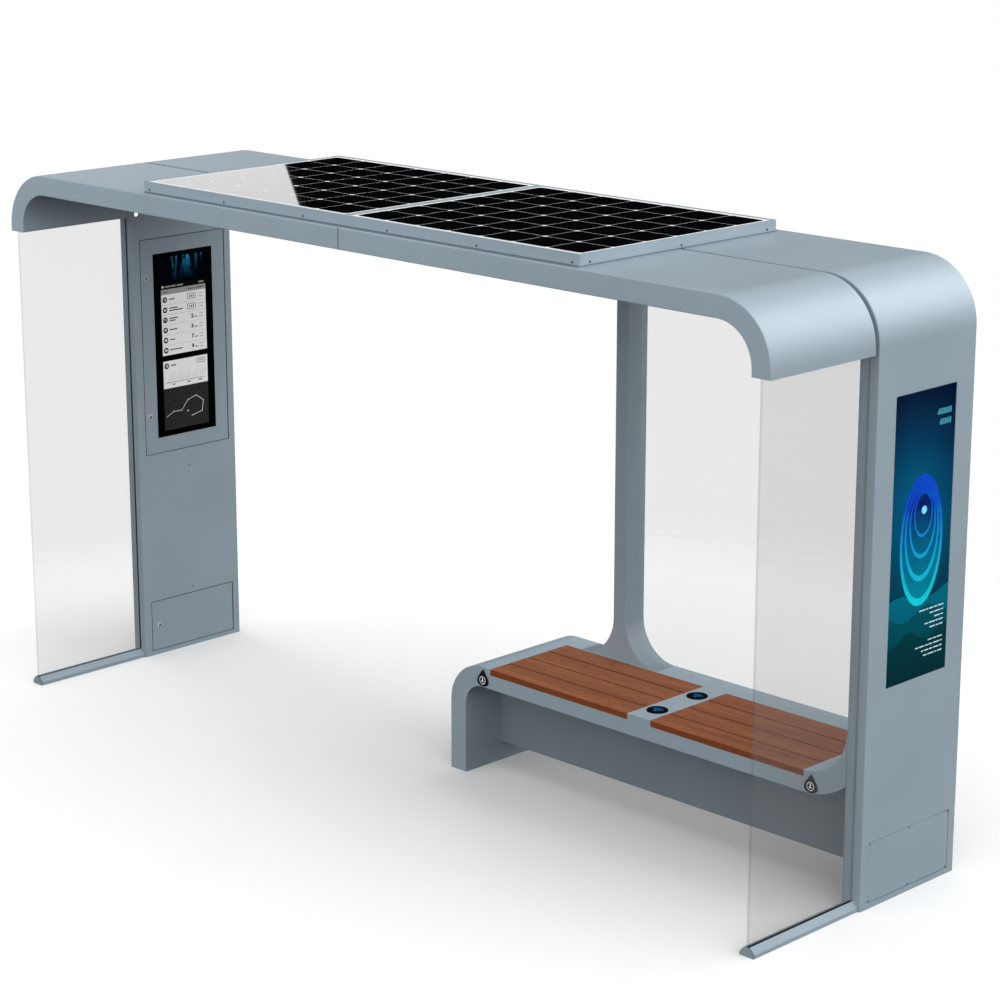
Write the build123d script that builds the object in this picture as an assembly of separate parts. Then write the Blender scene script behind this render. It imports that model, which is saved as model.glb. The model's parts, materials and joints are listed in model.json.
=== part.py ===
"""Solar bus shelter: two slim towers joined by a round-shouldered roof, with a bench in the right half.

Millimetres.  +X runs along the shelter to the right, +Y to the rear, +Z up from the ground.
The origin is on the ground at the middle of the plan.
"""
from build123d import *
import os

os.makedirs("parts", exist_ok=True)

# ---- overall form ------------------------------------------------------------------------
length = 4000.0              # outer face to outer face of the towers
depth = 1080.0               # front fascia to rear face
roof_height = 2185.0         # ground to roof skin
band = 80.0                  # thickness of the roof bands and of the towers
shoulder_radius = 225.0      # outside bend where roof turns down
drop_depth = 245.0           # roof skin to the underside of its turned-down ends
front_band_depth = 530.0     # front roof band, front to rear
joint_gap = 20.0             # open groove between the front and the rear band
joint_recess = 14.0          # how far the strip in the groove lies below both roof skins
sheet = 3.0                  # folded sheet
edge_radius = 4.0            # folded edges of roof, towers and bench
fit = 0.5                    # clearance round a piece that is slid into a slot or a cut-out

# ---- side screens ------------------------------------------------------------------------
glass = 10.0                 # laminated safety glass
slot_clearance = 1.0         # each side of the glass in its slots
slot_depth = 14.0            # how deep the glass sits in the posts and in the roof
glass_setback = 5.0          # front edge of a side pane behind the fascia
rail_width = 60.0
rail_inset = 10.0            # rail's outer side in from the tower's outer face
rail_height = 35.0
rail_side = 14.0             # upright part of the rail's sides, under the chamfers
rail_top = 16.0              # flat on top of the rail, either side of and with the slot
rail_slot = 20.0             # depth of the slot in the rail

# ---- towers ------------------------------------------------------------------------------
post_depth = 30.0            # front and rear posts inside the tower skins
base_thickness = 10.0
anchor_radius = 7.0          # holes for M12 anchors
anchor_x = 40.0              # anchor spacing across a tower
anchor_end = 65.0            # anchors in from the front and rear of a tower
door_margin = 39.5           # tower's front and rear faces to the edges of doors and cover
door_bottom = 903.0
door_top_in = 105.0          # display door's top edge below the roof's turned-down end
hatch_height = 219.0
hatch_bottom = 22.0
door_gap = 6.0               # gap round a door, on three sides
hinge_gap = 6.5              # gap beside the hinge
door_return = 17.0           # depth of a door's folded edges behind its face
screen_margin = 66.0         # door's edges to the screen glass
housing_depth = 34.0         # display body behind its glass
housing_lap = 14.0           # display body wider than its glass, each side
ad_margin = 99.5             # tower's front and rear faces to the picture display
ad_bottom = 780.0
ad_top_in = 156.0            # picture display's top edge below the roof's turned-down end
cover_clearance = 1.5        # gap round the screwed cover

# ---- door hinges and locks ---------------------------------------------------------------
pin_radius = 4.0
pin_running = 0.05           # radial clearance of a pin in its lug
pin_inset = 8.0              # hinge axis behind the door's face and in from its edge
lug_height = 14.0
pin_in_lug = 12.0
bracket_depth = 20.0
bracket_width = 20.0
bracket_height = 12.0
lock_radius = 9.0
lock_head_radius = 12.0
lock_head = 2.5              # head in front of the door
lock_barrel = 22.0           # barrel behind the door's face
door_lock_in = 27.0          # lock centre in from the door's front edge
door_lock_end = 164.0        # lock centre in from the door's top and bottom
hatch_lock_in = 41.0

# ---- bench -------------------------------------------------------------------------------
seat_height = 450.0
bench_left = 0.0             # outer face of the bench leg
bench_radius = 170.0         # outside bend from leg to seat
sweep_radius = 175.0         # seat surface sweeping up into the right tower
sweep_under_radius = 270.0   # underside of that sweep
wood_left_in = 214.0         # leg's outer face to the planks
wood_right_in = 181.0        # planks to the right tower
rear_strip = 108.0           # metal strip behind the planks
wood_thickness = 24.0
wood_round = 3.0             # rounded long edges of the planks
plank_count = 4
plank_gap = 4.0
plate_width = 113.0          # metal plate between the two plank fields
beam_depth = 146.0
beam_bottom = 80.0
charger_radius = 40.0
charger_stem = 34.0
charger_proud = 3.0
charger_in = 101.0           # pads in from the front and rear of the plank fields
drop_radius = 25.0           # round part of the drop-shaped socket cover
drop_tip = 42.0              # tip above the round part's centre
drop_height = 400.0          # centre of the round part above the ground
drop_thickness = 6.0
drop_in = 36.0               # cover's centre beyond the end of the planks

# ---- rear post and rear glass ------------------------------------------------------------
post_left = 458.0
post_width = 60.0
post_rear_depth = 105.0
flare_radius = 165.0
rear_glass_in = 40.0         # rear pane's front face in from the shelter's rear
rear_bite = 8.0              # rear pane held this deep in post, seat and roof

# ---- solar unit --------------------------------------------------------------------------
solar_length = 2310.0
solar_front = 32.0           # solar unit in from the front fascia
solar_back = 40.0            # solar unit in from the rear face
solar_height = 42.0
solar_rim = 11.0             # metal edge seen round the modules
solar_bar = 30.0             # metal between the two modules
solar_lift = 2.0             # shadow gap under the skirt
solar_lift_inset = 8.0
module_below_rim = 1.0

# ---- places worked out from the sizes above ----------------------------------------------
x_out = length / 2
x_in = x_out - band
y_front = -depth / 2
y_rear = depth / 2
y_joint = y_front + front_band_depth
y_tower = y_joint + joint_gap
soffit = roof_height - band
drop_bottom = roof_height - drop_depth
x_glass = x_out - band / 2
tower_depth = y_rear - y_tower
tower_mid = (y_tower + y_rear) / 2
anchor_y = tower_depth - 2 * anchor_end
door_width = tower_depth - 2 * door_margin
door_height = drop_bottom - door_top_in - door_bottom
screen_width = door_width - 2 * screen_margin
screen_height = door_height - 2 * screen_margin
ad_width = tower_depth - 2 * ad_margin
ad_height = drop_bottom - ad_top_in - ad_bottom
inner_radius = shoulder_radius - band
rear_glass_y = y_rear - rear_glass_in
solar_y = y_front + solar_front
solar_depth = depth - solar_front - solar_back
wood_left = bench_left + wood_left_in
wood_right = x_in - wood_right_in
wood_depth = tower_depth - rear_strip
seat_under = seat_height - band
plate_mid = (wood_left + wood_right) / 2
slot = glass + 2 * slot_clearance


def block(x0, x1, y0, y1, z0, z1):
    """A rectangular block between two corners."""
    middle = Pos((x0 + x1) / 2, (y0 + y1) / 2, (z0 + z1) / 2)
    return middle * Box(abs(x1 - x0), abs(y1 - y0), abs(z1 - z0))


def slab(face, y0, y1):
    """A face drawn in X and Z, made solid from y0 to y1."""
    return extrude(Plane.XZ.offset(-y1) * face, amount=y1 - y0)


def polygon(*points):
    """A face through the given corners."""
    return make_face(Polyline(*points, close=True))


def round_corner(face, corner, radius):
    """The face with the corner nearest to the given point rounded."""
    x, z = corner
    vertex = face.vertices().sort_by_distance(Vector(x, z, 0))[0]
    return fillet(vertex, radius)


def lies_in(edge, axis, place):
    """Whether an edge lies in the plane across X, Y or Z at a given place."""
    box = edge.bounding_box()
    low = getattr(box.min, axis)
    high = getattr(box.max, axis)
    return abs(low - place) < 1e-3 and abs(high - place) < 1e-3


def fold_edges(solid, y_planes, joints):
    """The solid with its outline edges rounded, but for those where it meets its neighbours.

    y_planes are the Y of its front and rear faces; joints are (axis, place) planes left sharp.
    """
    picked = [
        edge
        for edge in solid.edges()
        if any(lies_in(edge, "Y", y) for y in y_planes)
        and not any(lies_in(edge, axis, place) for axis, place in joints)
    ]
    return fillet(picked, edge_radius)


def upright(x, y, z0, z1, radius):
    """A vertical cylinder."""
    return Pos(x, y, (z0 + z1) / 2) * Cylinder(radius, z1 - z0)


def lying_x(x0, x1, y, z, radius):
    """A cylinder along X."""
    return Pos((x0 + x1) / 2, y, z) * Rot(0, 90, 0) * Cylinder(radius, x1 - x0)


# ---- roof --------------------------------------------------------------------------------
def roof_profile():
    """Right half of the roof: flat, round shoulder, short end turned down."""
    face = polygon(
        (0, roof_height),
        (x_out, roof_height),
        (x_out, drop_bottom),
        (x_in, drop_bottom),
        (x_in, soffit),
        (0, soffit),
    )
    face = round_corner(face, (x_out, roof_height), shoulder_radius)
    return round_corner(face, (x_in, soffit), inner_radius)


def rear_opening(grow):
    """Outline of the glazed opening behind the bench, grown all round by a given amount."""
    left = post_left + post_width - grow
    right = x_in + grow
    top = soffit + grow
    bottom = seat_height - grow
    face = polygon((left, bottom), (right, bottom), (right, top), (left, top))
    face = round_corner(face, (left, bottom), flare_radius + grow)
    face = round_corner(face, (right, bottom), sweep_radius + grow)
    return round_corner(face, (right, top), inner_radius + grow)


def rear_groove():
    """The slot that the rear pane stands in."""
    grown = slab(
        rear_opening(rear_bite + fit),
        rear_glass_y - slot_clearance,
        rear_glass_y + glass + slot_clearance,
    )
    return grown & block(bench_left, x_in, y_front, y_rear, 0, roof_height)


def roof_front():
    """Right half of the front band, with the slot for the side pane in its end."""
    solid = slab(roof_profile(), y_front, y_joint)
    solid = fold_edges(solid, (y_front, y_joint), [("X", 0)])
    pane_slot = block(
        x_glass - slot / 2, x_glass + slot / 2,
        y_front + glass_setback - fit, y_joint,
        drop_bottom, drop_bottom + slot_depth + fit,
    )
    return solid - pane_slot


def roof_rear():
    """Right half of the rear band."""
    solid = slab(roof_profile(), y_tower, y_rear)
    return fold_edges(solid, (y_tower, y_rear), [("X", 0), ("Z", drop_bottom)])


def roof_joint_strip():
    """Strip that ties the two roof bands, out of sight down in the groove."""
    reach = x_out - shoulder_radius
    return block(-reach, reach, y_joint, y_tower, soffit + joint_recess, roof_height - joint_recess)


# ---- side screens ------------------------------------------------------------------------
def side_pane():
    """Side glass from the floor rail to the roof's end, its rear edge in the tower."""
    return block(
        x_glass - glass / 2, x_glass + glass / 2,
        y_front + glass_setback, y_tower + slot_depth,
        rail_height - rail_slot, drop_bottom + slot_depth,
    ) - block(x_in, x_out, y_joint, y_tower + slot_depth + 1, drop_bottom, roof_height)


def floor_rail():
    """Chamfered rail on the ground with a slot for the side pane."""
    outer = x_out - rail_inset
    inner = outer - rail_width
    middle = (outer + inner) / 2
    face = polygon(
        (inner, 0),
        (outer, 0),
        (outer, rail_side),
        (middle + rail_top / 2, rail_height),
        (middle - rail_top / 2, rail_height),
        (inner, rail_side),
    )
    pane_slot = block(
        x_glass - slot / 2, x_glass + slot / 2, y_front, y_tower, rail_height - rail_slot, rail_height
    )
    return slab(face, y_front, y_tower) - pane_slot


# ---- towers, built on the right and mirrored for the left ---------------------------------
def tower_skin(x_face):
    """Folded skin from one broad face of a tower round to the middle of its narrow faces."""
    inward = 1 if x_face == x_in else -1
    skin = block(x_face, x_glass, y_tower, y_rear, 0, drop_bottom)
    folds = [e for e in skin.edges() if lies_in(e, "X", x_face) and e.length > tower_depth]
    skin = fillet(folds, edge_radius)
    skin -= block(
        x_face + inward * sheet, x_glass, y_tower + sheet, y_rear - sheet, 0, drop_bottom
    )
    return skin - pane_channel()


def pane_channel():
    """The slot in a tower's front face for the side pane."""
    return block(
        x_glass - slot / 2, x_glass + slot / 2,
        y_tower, y_tower + slot_depth + fit,
        rail_height - rail_slot, drop_bottom,
    )


def tower_frame():
    """Two posts welded to a foot plate: a slot in front for the side pane, holes for anchors below."""
    inner = x_in + sheet
    outer = x_out - sheet
    front = y_tower + sheet
    rear = y_rear - sheet
    frame = block(inner, outer, front, y_tower + post_depth, 0, drop_bottom)
    frame += block(inner, outer, y_rear - post_depth, rear, 0, drop_bottom)
    frame += block(inner, outer, front, rear, 0, base_thickness)
    frame -= pane_channel()
    for x in (-anchor_x / 2, anchor_x / 2):
        for y in (-anchor_y / 2, anchor_y / 2):
            frame -= upright(x_glass + x, tower_mid + y, 0, base_thickness, anchor_radius)
    return frame


def door_opening(bottom, height):
    """Cut-out in the inner skin for a door, with its running gap."""
    return block(
        x_in, x_in + sheet,
        tower_mid - door_width / 2 - door_gap, tower_mid + door_width / 2 + hinge_gap,
        bottom - door_gap, bottom + height + door_gap,
    )


def hinge_axis():
    """X and Y of the hinge pins."""
    return x_in + pin_inset, tower_mid + door_width / 2 - pin_inset


def door_pan(bottom, height):
    """Door skin with folded edges and a drilled lug at each end of its hinge edge."""
    y0 = tower_mid - door_width / 2
    y1 = tower_mid + door_width / 2
    top = bottom + height
    back = x_in + sheet + door_return
    pan = block(x_in, back, y0, y1, bottom, top)
    pan -= block(x_in + sheet, back, y0 + sheet, y1 - sheet, bottom + sheet, top - sheet)
    pin_x, pin_y = hinge_axis()
    for z0, z1 in ((bottom, bottom + lug_height), (top - lug_height, top)):
        pan += block(x_in + sheet, x_in + 2 * pin_inset, y1 - 2 * pin_inset, y1, z0, z1)
        pan -= upright(pin_x, pin_y, z0, z1, pin_radius + pin_running)
    return pan


def hinge_pair(bottom, height):
    """The two fixed brackets of a door, each with its pin."""
    pin_x, pin_y = hinge_axis()
    low = bottom - door_gap
    high = bottom + height + door_gap
    low_end = max(low - bracket_height, base_thickness)
    brackets = []
    for z0, z1, p0, p1 in (
        (low_end, low, low, bottom + pin_in_lug),
        (high, high + bracket_height, bottom + height - pin_in_lug, high),
    ):
        bracket = block(
            x_in + sheet, x_in + sheet + bracket_depth,
            pin_y - bracket_width / 2, pin_y + bracket_width / 2,
            z0, z1,
        )
        brackets.append(bracket + upright(pin_x, pin_y, p0, p1, pin_radius))
    return brackets


def lock(y, z):
    """Cam lock: round head, barrel and cam."""
    body = lying_x(x_in - lock_head, x_in, y, z, lock_head_radius)
    body += lying_x(x_in, x_in + lock_barrel, y, z, lock_radius - fit)
    cam = block(
        x_in + lock_barrel, x_in + lock_barrel + sheet,
        y - lock_radius + fit, y + 2 * lock_radius,
        z - lock_radius + fit, z + lock_radius - fit,
    )
    return body + cam


def lock_hole(y, z):
    """Hole in a door's skin for a lock barrel."""
    return lying_x(x_in, x_in + sheet, y, z, lock_radius)


# ---- bench -------------------------------------------------------------------------------
def bench_leg():
    """Leg and the round bend that leads into the seat."""
    outer = bench_left
    inner = bench_left + band
    end = bench_left + bench_radius
    bend_z = seat_height - bench_radius
    lines = [
        Line((outer, 0), (outer, bend_z)),
        CenterArc((end, bend_z), bench_radius, 90, 90),
        Line((end, seat_height), (end, seat_under)),
        CenterArc((end, bend_z), bench_radius - band, 90, 90),
        Line((inner, bend_z), (inner, 0)),
        Line((inner, 0), (outer, 0)),
    ]
    leg = slab(make_face(lines), y_tower, y_rear)
    return fold_edges(leg, (y_tower, y_rear), [("X", end), ("Z", 0)])


def bench_seat():
    """Level part of the bench, with a recess for the planks and a groove for the rear pane."""
    start = bench_left + bench_radius
    end = x_in - sweep_radius
    seat = block(start, end, y_tower, y_rear, seat_under, seat_height)
    seat = fold_edges(seat, (y_tower, y_rear), [("X", start), ("X", end)])
    recess = block(
        wood_left, wood_right, y_tower, y_tower + wood_depth, seat_height - wood_thickness, seat_height
    )
    return seat - recess - rear_groove()


def bench_sweep():
    """End of the bench that sweeps up into the right tower."""
    start = x_in - sweep_radius
    lines = [
        Line((start, seat_under), (start, seat_height)),
        CenterArc((start, seat_height + sweep_radius), sweep_radius, -90, 90),
        Line((x_in, seat_height + sweep_radius), (x_in, sweep_under())),
        RadiusArc((x_in, sweep_under()), (start, seat_under), sweep_under_radius),
    ]
    sweep = slab(make_face(lines), y_tower, y_rear)
    return fold_edges(sweep, (y_tower, y_rear), [("X", start), ("X", x_in)]) - rear_groove()


def sweep_under():
    """Z where the underside of the sweep meets the tower."""
    return seat_under + sweep_under_radius - (sweep_under_radius**2 - sweep_radius**2) ** 0.5


def bench_beam():
    """Closed box beam under the seat, from the leg to the right tower."""
    start = bench_left + band
    bend = bench_radius - band
    front = tower_mid - beam_depth / 2
    lines = [
        Line((start, beam_bottom), (x_in, beam_bottom)),
        Line((x_in, beam_bottom), (x_in, sweep_under())),
        RadiusArc((x_in, sweep_under()), (x_in - sweep_radius, seat_under), sweep_under_radius),
        Line((x_in - sweep_radius, seat_under), (start + bend, seat_under)),
        CenterArc((start + bend, seat_under - bend), bend, 90, 90),
        Line((start, seat_under - bend), (start, beam_bottom)),
    ]
    return slab(make_face(lines), front, front + beam_depth)


def charger_places():
    """Y of the two charging pads."""
    return y_tower + charger_in, y_tower + wood_depth - charger_in


def plank(x0, x1, row):
    """A board of the seat, its long upper edges rounded."""
    pitch = (wood_depth + plank_gap) / plank_count
    y0 = y_tower + row * pitch
    board = block(x0, x1, y0, y0 + pitch - plank_gap, seat_height - wood_thickness, seat_height)
    return fillet(board.edges().filter_by(Axis.X).group_by(Axis.Z)[-1], wood_round)


def charger_plate():
    """Metal plate between the two plank fields, with a hole for each charging pad."""
    plate = block(
        plate_mid - plate_width / 2 + fit, plate_mid + plate_width / 2 - fit,
        y_tower, y_tower + wood_depth,
        seat_height - wood_thickness, seat_height,
    )
    for y in charger_places():
        plate -= upright(plate_mid, y, seat_height - wood_thickness, seat_height, charger_stem + fit)
    return plate


def charger(y):
    """Charging pad: a thin disc on a stem that fills its hole."""
    disc = upright(plate_mid, y, seat_height, seat_height + charger_proud, charger_radius)
    return disc + upright(plate_mid, y, seat_height - wood_thickness, seat_height, charger_stem)


def drop_cover(x):
    """Drop-shaped socket cover on the bench front."""
    centre = (x, drop_height)
    tip = (x, drop_height + drop_tip)
    rise = (drop_tip**2 - drop_radius**2) ** 0.5
    side = drop_radius * rise / drop_tip
    shoulder = drop_radius**2 / drop_tip
    cap = polygon((x - side, drop_height + shoulder), (x + side, drop_height + shoulder), tip)
    face = Pos(*centre) * Circle(drop_radius) + cap
    return slab(face, y_tower - drop_thickness, y_tower)


# ---- rear post and pane ------------------------------------------------------------------
def back_post():
    """Post on the bench's rear edge, flared where it meets the seat."""
    left = post_left
    right = post_left + post_width
    foot = seat_height
    flare_top = foot + flare_radius
    lines = [
        Line((left - flare_radius, foot), (right + flare_radius, foot)),
        CenterArc((right + flare_radius, flare_top), flare_radius, 180, 90),
        Line((right, flare_top), (right, soffit)),
        Line((right, soffit), (left, soffit)),
        Line((left, soffit), (left, flare_top)),
        CenterArc((left - flare_radius, flare_top), flare_radius, -90, 90),
    ]
    return slab(make_face(lines), y_rear - post_rear_depth, y_rear) - rear_groove()


def back_pane():
    """Rear pane, held in the groove of post, seat, sweep and roof."""
    pane = slab(rear_opening(rear_bite), rear_glass_y, rear_glass_y + glass)
    return pane & block(bench_left, x_in - fit, y_front, y_rear, 0, roof_height)


# ---- solar unit --------------------------------------------------------------------------
def solar_tray():
    """Skirt round the two modules, with a bar between them, on an inset plinth."""
    half = solar_length / 2
    y0 = solar_y
    y1 = solar_y + solar_depth
    top = roof_height + solar_height
    tray = block(-half, half, y0, y1, roof_height + solar_lift, top)
    tray += block(
        -half + solar_lift_inset, half - solar_lift_inset,
        y0 + solar_lift_inset, y1 - solar_lift_inset,
        roof_height, roof_height + solar_lift,
    )
    for side in (-1, 1):
        tray -= block(
            side * solar_bar / 2, side * (half - solar_rim), y0 + solar_rim, y1 - solar_rim,
            roof_height, top,
        )
    return tray


def solar_module():
    """Right-hand solar module, in its half of the tray."""
    half = solar_length / 2
    return block(
        solar_bar / 2 + fit, half - solar_rim - fit,
        solar_y + solar_rim + fit, solar_y + solar_depth - solar_rim - fit,
        roof_height, roof_height + solar_height - module_below_rim,
    )


# ---- all pieces --------------------------------------------------------------------------
def left(shape):
    """The same piece on the left side."""
    return mirror(shape, about=Plane.YZ)


def roof_pieces():
    front = roof_front()
    rear = roof_rear()
    return {
        "roof_front_left": left(front),
        "roof_front_right": front,
        "roof_rear_left": left(rear),
        "roof_rear_right": rear - rear_groove(),
        "roof_joint_strip": roof_joint_strip(),
    }


def screen_pieces():
    pane = side_pane()
    rail = floor_rail()
    return {
        "side_glass_left": left(pane),
        "side_glass_right": pane,
        "floor_rail_left": left(rail),
        "floor_rail_right": rail,
    }


def left_tower_pieces():
    """Tower with the display door above and the service hatch at its foot, both facing inwards."""
    door_cuts = door_opening(door_bottom, door_height) + door_opening(hatch_bottom, hatch_height)
    hinges = hinge_pair(door_bottom, door_height) + hinge_pair(hatch_bottom, hatch_height)

    lock_y = tower_mid - door_width / 2 + door_lock_in
    lock_low = door_bottom + door_lock_end
    lock_high = door_bottom + door_height - door_lock_end
    screen_y = tower_mid - screen_width / 2
    screen_z = door_bottom + screen_margin
    door = door_pan(door_bottom, door_height)
    door -= block(
        x_in, x_in + sheet,
        screen_y - fit, screen_y + screen_width + fit,
        screen_z - fit, screen_z + screen_height + fit,
    )
    door = door - lock_hole(lock_y, lock_low) - lock_hole(lock_y, lock_high)
    screen = block(
        x_in, x_in + sheet, screen_y, screen_y + screen_width, screen_z, screen_z + screen_height
    )
    housing = block(
        x_in + sheet, x_in + sheet + housing_depth,
        screen_y - housing_lap, screen_y + screen_width + housing_lap,
        screen_z - housing_lap, screen_z + screen_height + housing_lap,
    )

    hatch_lock_y = tower_mid - door_width / 2 + hatch_lock_in
    hatch_lock_z = hatch_bottom + hatch_height / 2
    hatch = door_pan(hatch_bottom, hatch_height) - lock_hole(hatch_lock_y, hatch_lock_z)
    pieces = {
        "tower_left_frame": tower_frame(),
        "tower_left_outer_skin": tower_skin(x_out),
        "tower_left_inner_skin": tower_skin(x_in) - door_cuts,
        "tower_left_hinges": Compound(hinges),
        "display_door": door,
        "display_glass": screen,
        "display_housing": housing,
        "display_door_locks": Compound([lock(lock_y, lock_low), lock(lock_y, lock_high)]),
        "service_hatch": hatch,
        "service_hatch_lock": lock(hatch_lock_y, hatch_lock_z),
    }
    return {node: left(piece) for node, piece in pieces.items()}


def right_tower_pieces():
    """Tower with the picture display above and a screwed cover at its foot, both facing outwards."""
    ad_y = tower_mid - ad_width / 2
    cover_y0 = tower_mid - door_width / 2
    cover_y1 = tower_mid + door_width / 2
    cover_top = hatch_bottom + hatch_height
    skin = tower_skin(x_out)
    skin -= block(
        x_out - sheet, x_out,
        ad_y - fit, ad_y + ad_width + fit,
        ad_bottom - fit, ad_bottom + ad_height + fit,
    )
    skin -= block(
        x_out - sheet, x_out,
        cover_y0 - cover_clearance, cover_y1 + cover_clearance,
        hatch_bottom - cover_clearance, cover_top + cover_clearance,
    )
    lap = block(
        x_out - 2 * sheet, x_out - sheet,
        y_tower + post_depth, y_rear - post_depth,
        base_thickness, cover_top + housing_lap,
    )
    lap -= block(
        x_out - 2 * sheet, x_out - sheet,
        cover_y0 + housing_lap, cover_y1 - housing_lap,
        hatch_bottom + housing_lap, cover_top - housing_lap,
    )
    return {
        "tower_right_frame": tower_frame(),
        "tower_right_inner_skin": tower_skin(x_in),
        "tower_right_outer_skin": skin + lap,
        "access_cover": block(
            x_out - sheet, x_out, cover_y0, cover_y1, hatch_bottom, cover_top
        ),
        "ad_glass": block(
            x_out - sheet, x_out, ad_y, ad_y + ad_width, ad_bottom, ad_bottom + ad_height
        ),
        "ad_housing": block(
            x_out - sheet - housing_depth, x_out - sheet,
            ad_y - housing_lap, ad_y + ad_width + housing_lap,
            ad_bottom - housing_lap, ad_bottom + ad_height + housing_lap,
        ),
    }


def bench_pieces():
    pieces = {
        "bench_leg": bench_leg(),
        "bench_seat": bench_seat(),
        "bench_sweep": bench_sweep(),
        "bench_beam": bench_beam(),
        "charger_plate": charger_plate(),
        "socket_cover_left": drop_cover(wood_left - drop_in),
        "socket_cover_right": drop_cover(wood_right + drop_in),
    }
    plate_left = plate_mid - plate_width / 2
    plate_right = plate_mid + plate_width / 2
    for row in range(plank_count):
        pieces[f"plank_left_{row + 1}"] = plank(wood_left + fit, plate_left, row)
        pieces[f"plank_right_{row + 1}"] = plank(plate_right, wood_right - fit, row)
    for name, y in zip(("front", "rear"), charger_places()):
        pieces[f"charger_{name}"] = charger(y)
    return pieces


def back_pieces():
    return {"back_post": back_post(), "back_glass": back_pane()}


def solar_pieces():
    module = solar_module()
    return {
        "solar_tray": solar_tray(),
        "solar_module_left": left(module),
        "solar_module_right": module,
    }


groups = (
    roof_pieces,
    screen_pieces,
    left_tower_pieces,
    right_tower_pieces,
    bench_pieces,
    back_pieces,
    solar_pieces,
)
for group in groups:
    for node, piece in group().items():
        export_step(piece, f"parts/{node}.step")
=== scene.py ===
"""Solar bus shelter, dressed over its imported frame.

Metres, +X along the shelter to the right, +Y to the rear, +Z up; the origin is on the ground at
the middle of the plan.  Each sub-assembly is a class that builds its meshes with bmesh operators
and gives them their finish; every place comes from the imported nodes' boxes.
"""
from __future__ import annotations

import json
import logging
import math
from dataclasses import dataclass
from enum import Enum
from typing import Callable, Iterable, Sequence

import bmesh
import bpy
from mathutils import Matrix, Vector

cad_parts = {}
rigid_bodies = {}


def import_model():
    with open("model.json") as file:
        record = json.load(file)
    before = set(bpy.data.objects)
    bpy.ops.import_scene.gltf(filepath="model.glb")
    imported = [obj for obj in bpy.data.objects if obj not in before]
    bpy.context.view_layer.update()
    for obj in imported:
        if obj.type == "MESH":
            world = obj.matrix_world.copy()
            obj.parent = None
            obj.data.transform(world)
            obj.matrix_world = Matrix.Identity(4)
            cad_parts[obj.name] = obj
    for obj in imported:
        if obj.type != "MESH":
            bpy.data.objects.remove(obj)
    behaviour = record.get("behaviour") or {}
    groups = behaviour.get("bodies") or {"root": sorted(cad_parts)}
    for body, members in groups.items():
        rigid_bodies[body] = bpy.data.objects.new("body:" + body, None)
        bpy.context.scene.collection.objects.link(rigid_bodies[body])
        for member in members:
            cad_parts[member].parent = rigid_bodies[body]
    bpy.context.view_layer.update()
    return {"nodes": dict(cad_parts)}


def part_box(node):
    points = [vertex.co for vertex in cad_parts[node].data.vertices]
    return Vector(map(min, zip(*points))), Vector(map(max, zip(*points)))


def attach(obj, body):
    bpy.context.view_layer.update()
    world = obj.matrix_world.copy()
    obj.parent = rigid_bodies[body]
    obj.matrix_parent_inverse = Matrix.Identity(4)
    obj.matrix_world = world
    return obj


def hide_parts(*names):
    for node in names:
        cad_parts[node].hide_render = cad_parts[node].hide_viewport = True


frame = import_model()
log = logging.getLogger("shelter")

Colour = tuple[float, float, float, float]
Pair = tuple[float, float]
Point = Sequence[float]
Socket = bpy.types.NodeSocket
Face, Edge, Vert = bmesh.types.BMFace, bmesh.types.BMEdge, bmesh.types.BMVert

WHITE: Colour = (1.0, 1.0, 1.0, 1.0)
QUARTER = math.pi / 2
TOUCH = 1e-5        # points nearer than this meet
MERGE = 1e-6        # vertices nearer than this become one
FLAT = 0.99         # least cosine between a face's normal and the axis it looks along
NOISE = (0.3, 0.7)  # nearly all of a noise's values lie between these
EASED = 0.0005      # radius of the edges of slabs
FOLD = 0.004        # radius of folded sheet metal
FOLD_STEPS = 3


# ---- options and places
class Side(Enum):
    """The two ends of the shelter, by the sign of X."""

    LEFT = -1
    RIGHT = 1

    @property
    def word(self) -> str:
        """The side as it stands in node names."""
        return self.name.lower()


class Body(str, Enum):
    """The bodies that pieces ride on."""

    SHELTER = "shelter"
    DOOR = "door"
    HATCH = "hatch"


class Slot(str, Enum):
    """Material slots of the record."""

    PAINT = "blue_grey_paint"
    RAIL = "rail_paint"
    GLASS = "clear_glass"
    WOOD = "seat_wood"
    SCREEN = "screen_glass"
    SOLAR = "solar_glass"
    CHARGER = "charger_plastic"
    COVER = "cover_plastic"
    CHROME = "lock_chrome"
    HOUSING = "housing_metal"
    HINGE = "hinge_steel"


class Axis(Enum):
    """The frame's axes, by their place in a vector."""

    X = 0
    Y = 1
    Z = 2

    @property
    def vector(self) -> Vector:
        """The unit vector along the axis."""
        return Vector([float(place == self.value) for place in range(3)])


def srgb(red: int, green: int, blue: int) -> Colour:
    """The linear colour of 0-255 display values."""
    shares = (value / 255 for value in (red, green, blue))
    return (*(s / 12.92 if s <= 0.04045 else ((s + 0.055) / 1.055) ** 2.4 for s in shares), 1.0)


@dataclass(frozen=True)
class Bounds:
    """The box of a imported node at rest."""

    low: Vector
    high: Vector

    @classmethod
    def of(cls, node: str) -> Bounds:
        """The box of the node with this name."""
        return cls(*map(Vector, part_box(node)))

    @property
    def centre(self) -> Vector:
        """The middle of the box."""
        return (self.low + self.high) / 2

    @property
    def size(self) -> Vector:
        """The box's lengths along X, Y and Z."""
        return self.high - self.low


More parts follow.
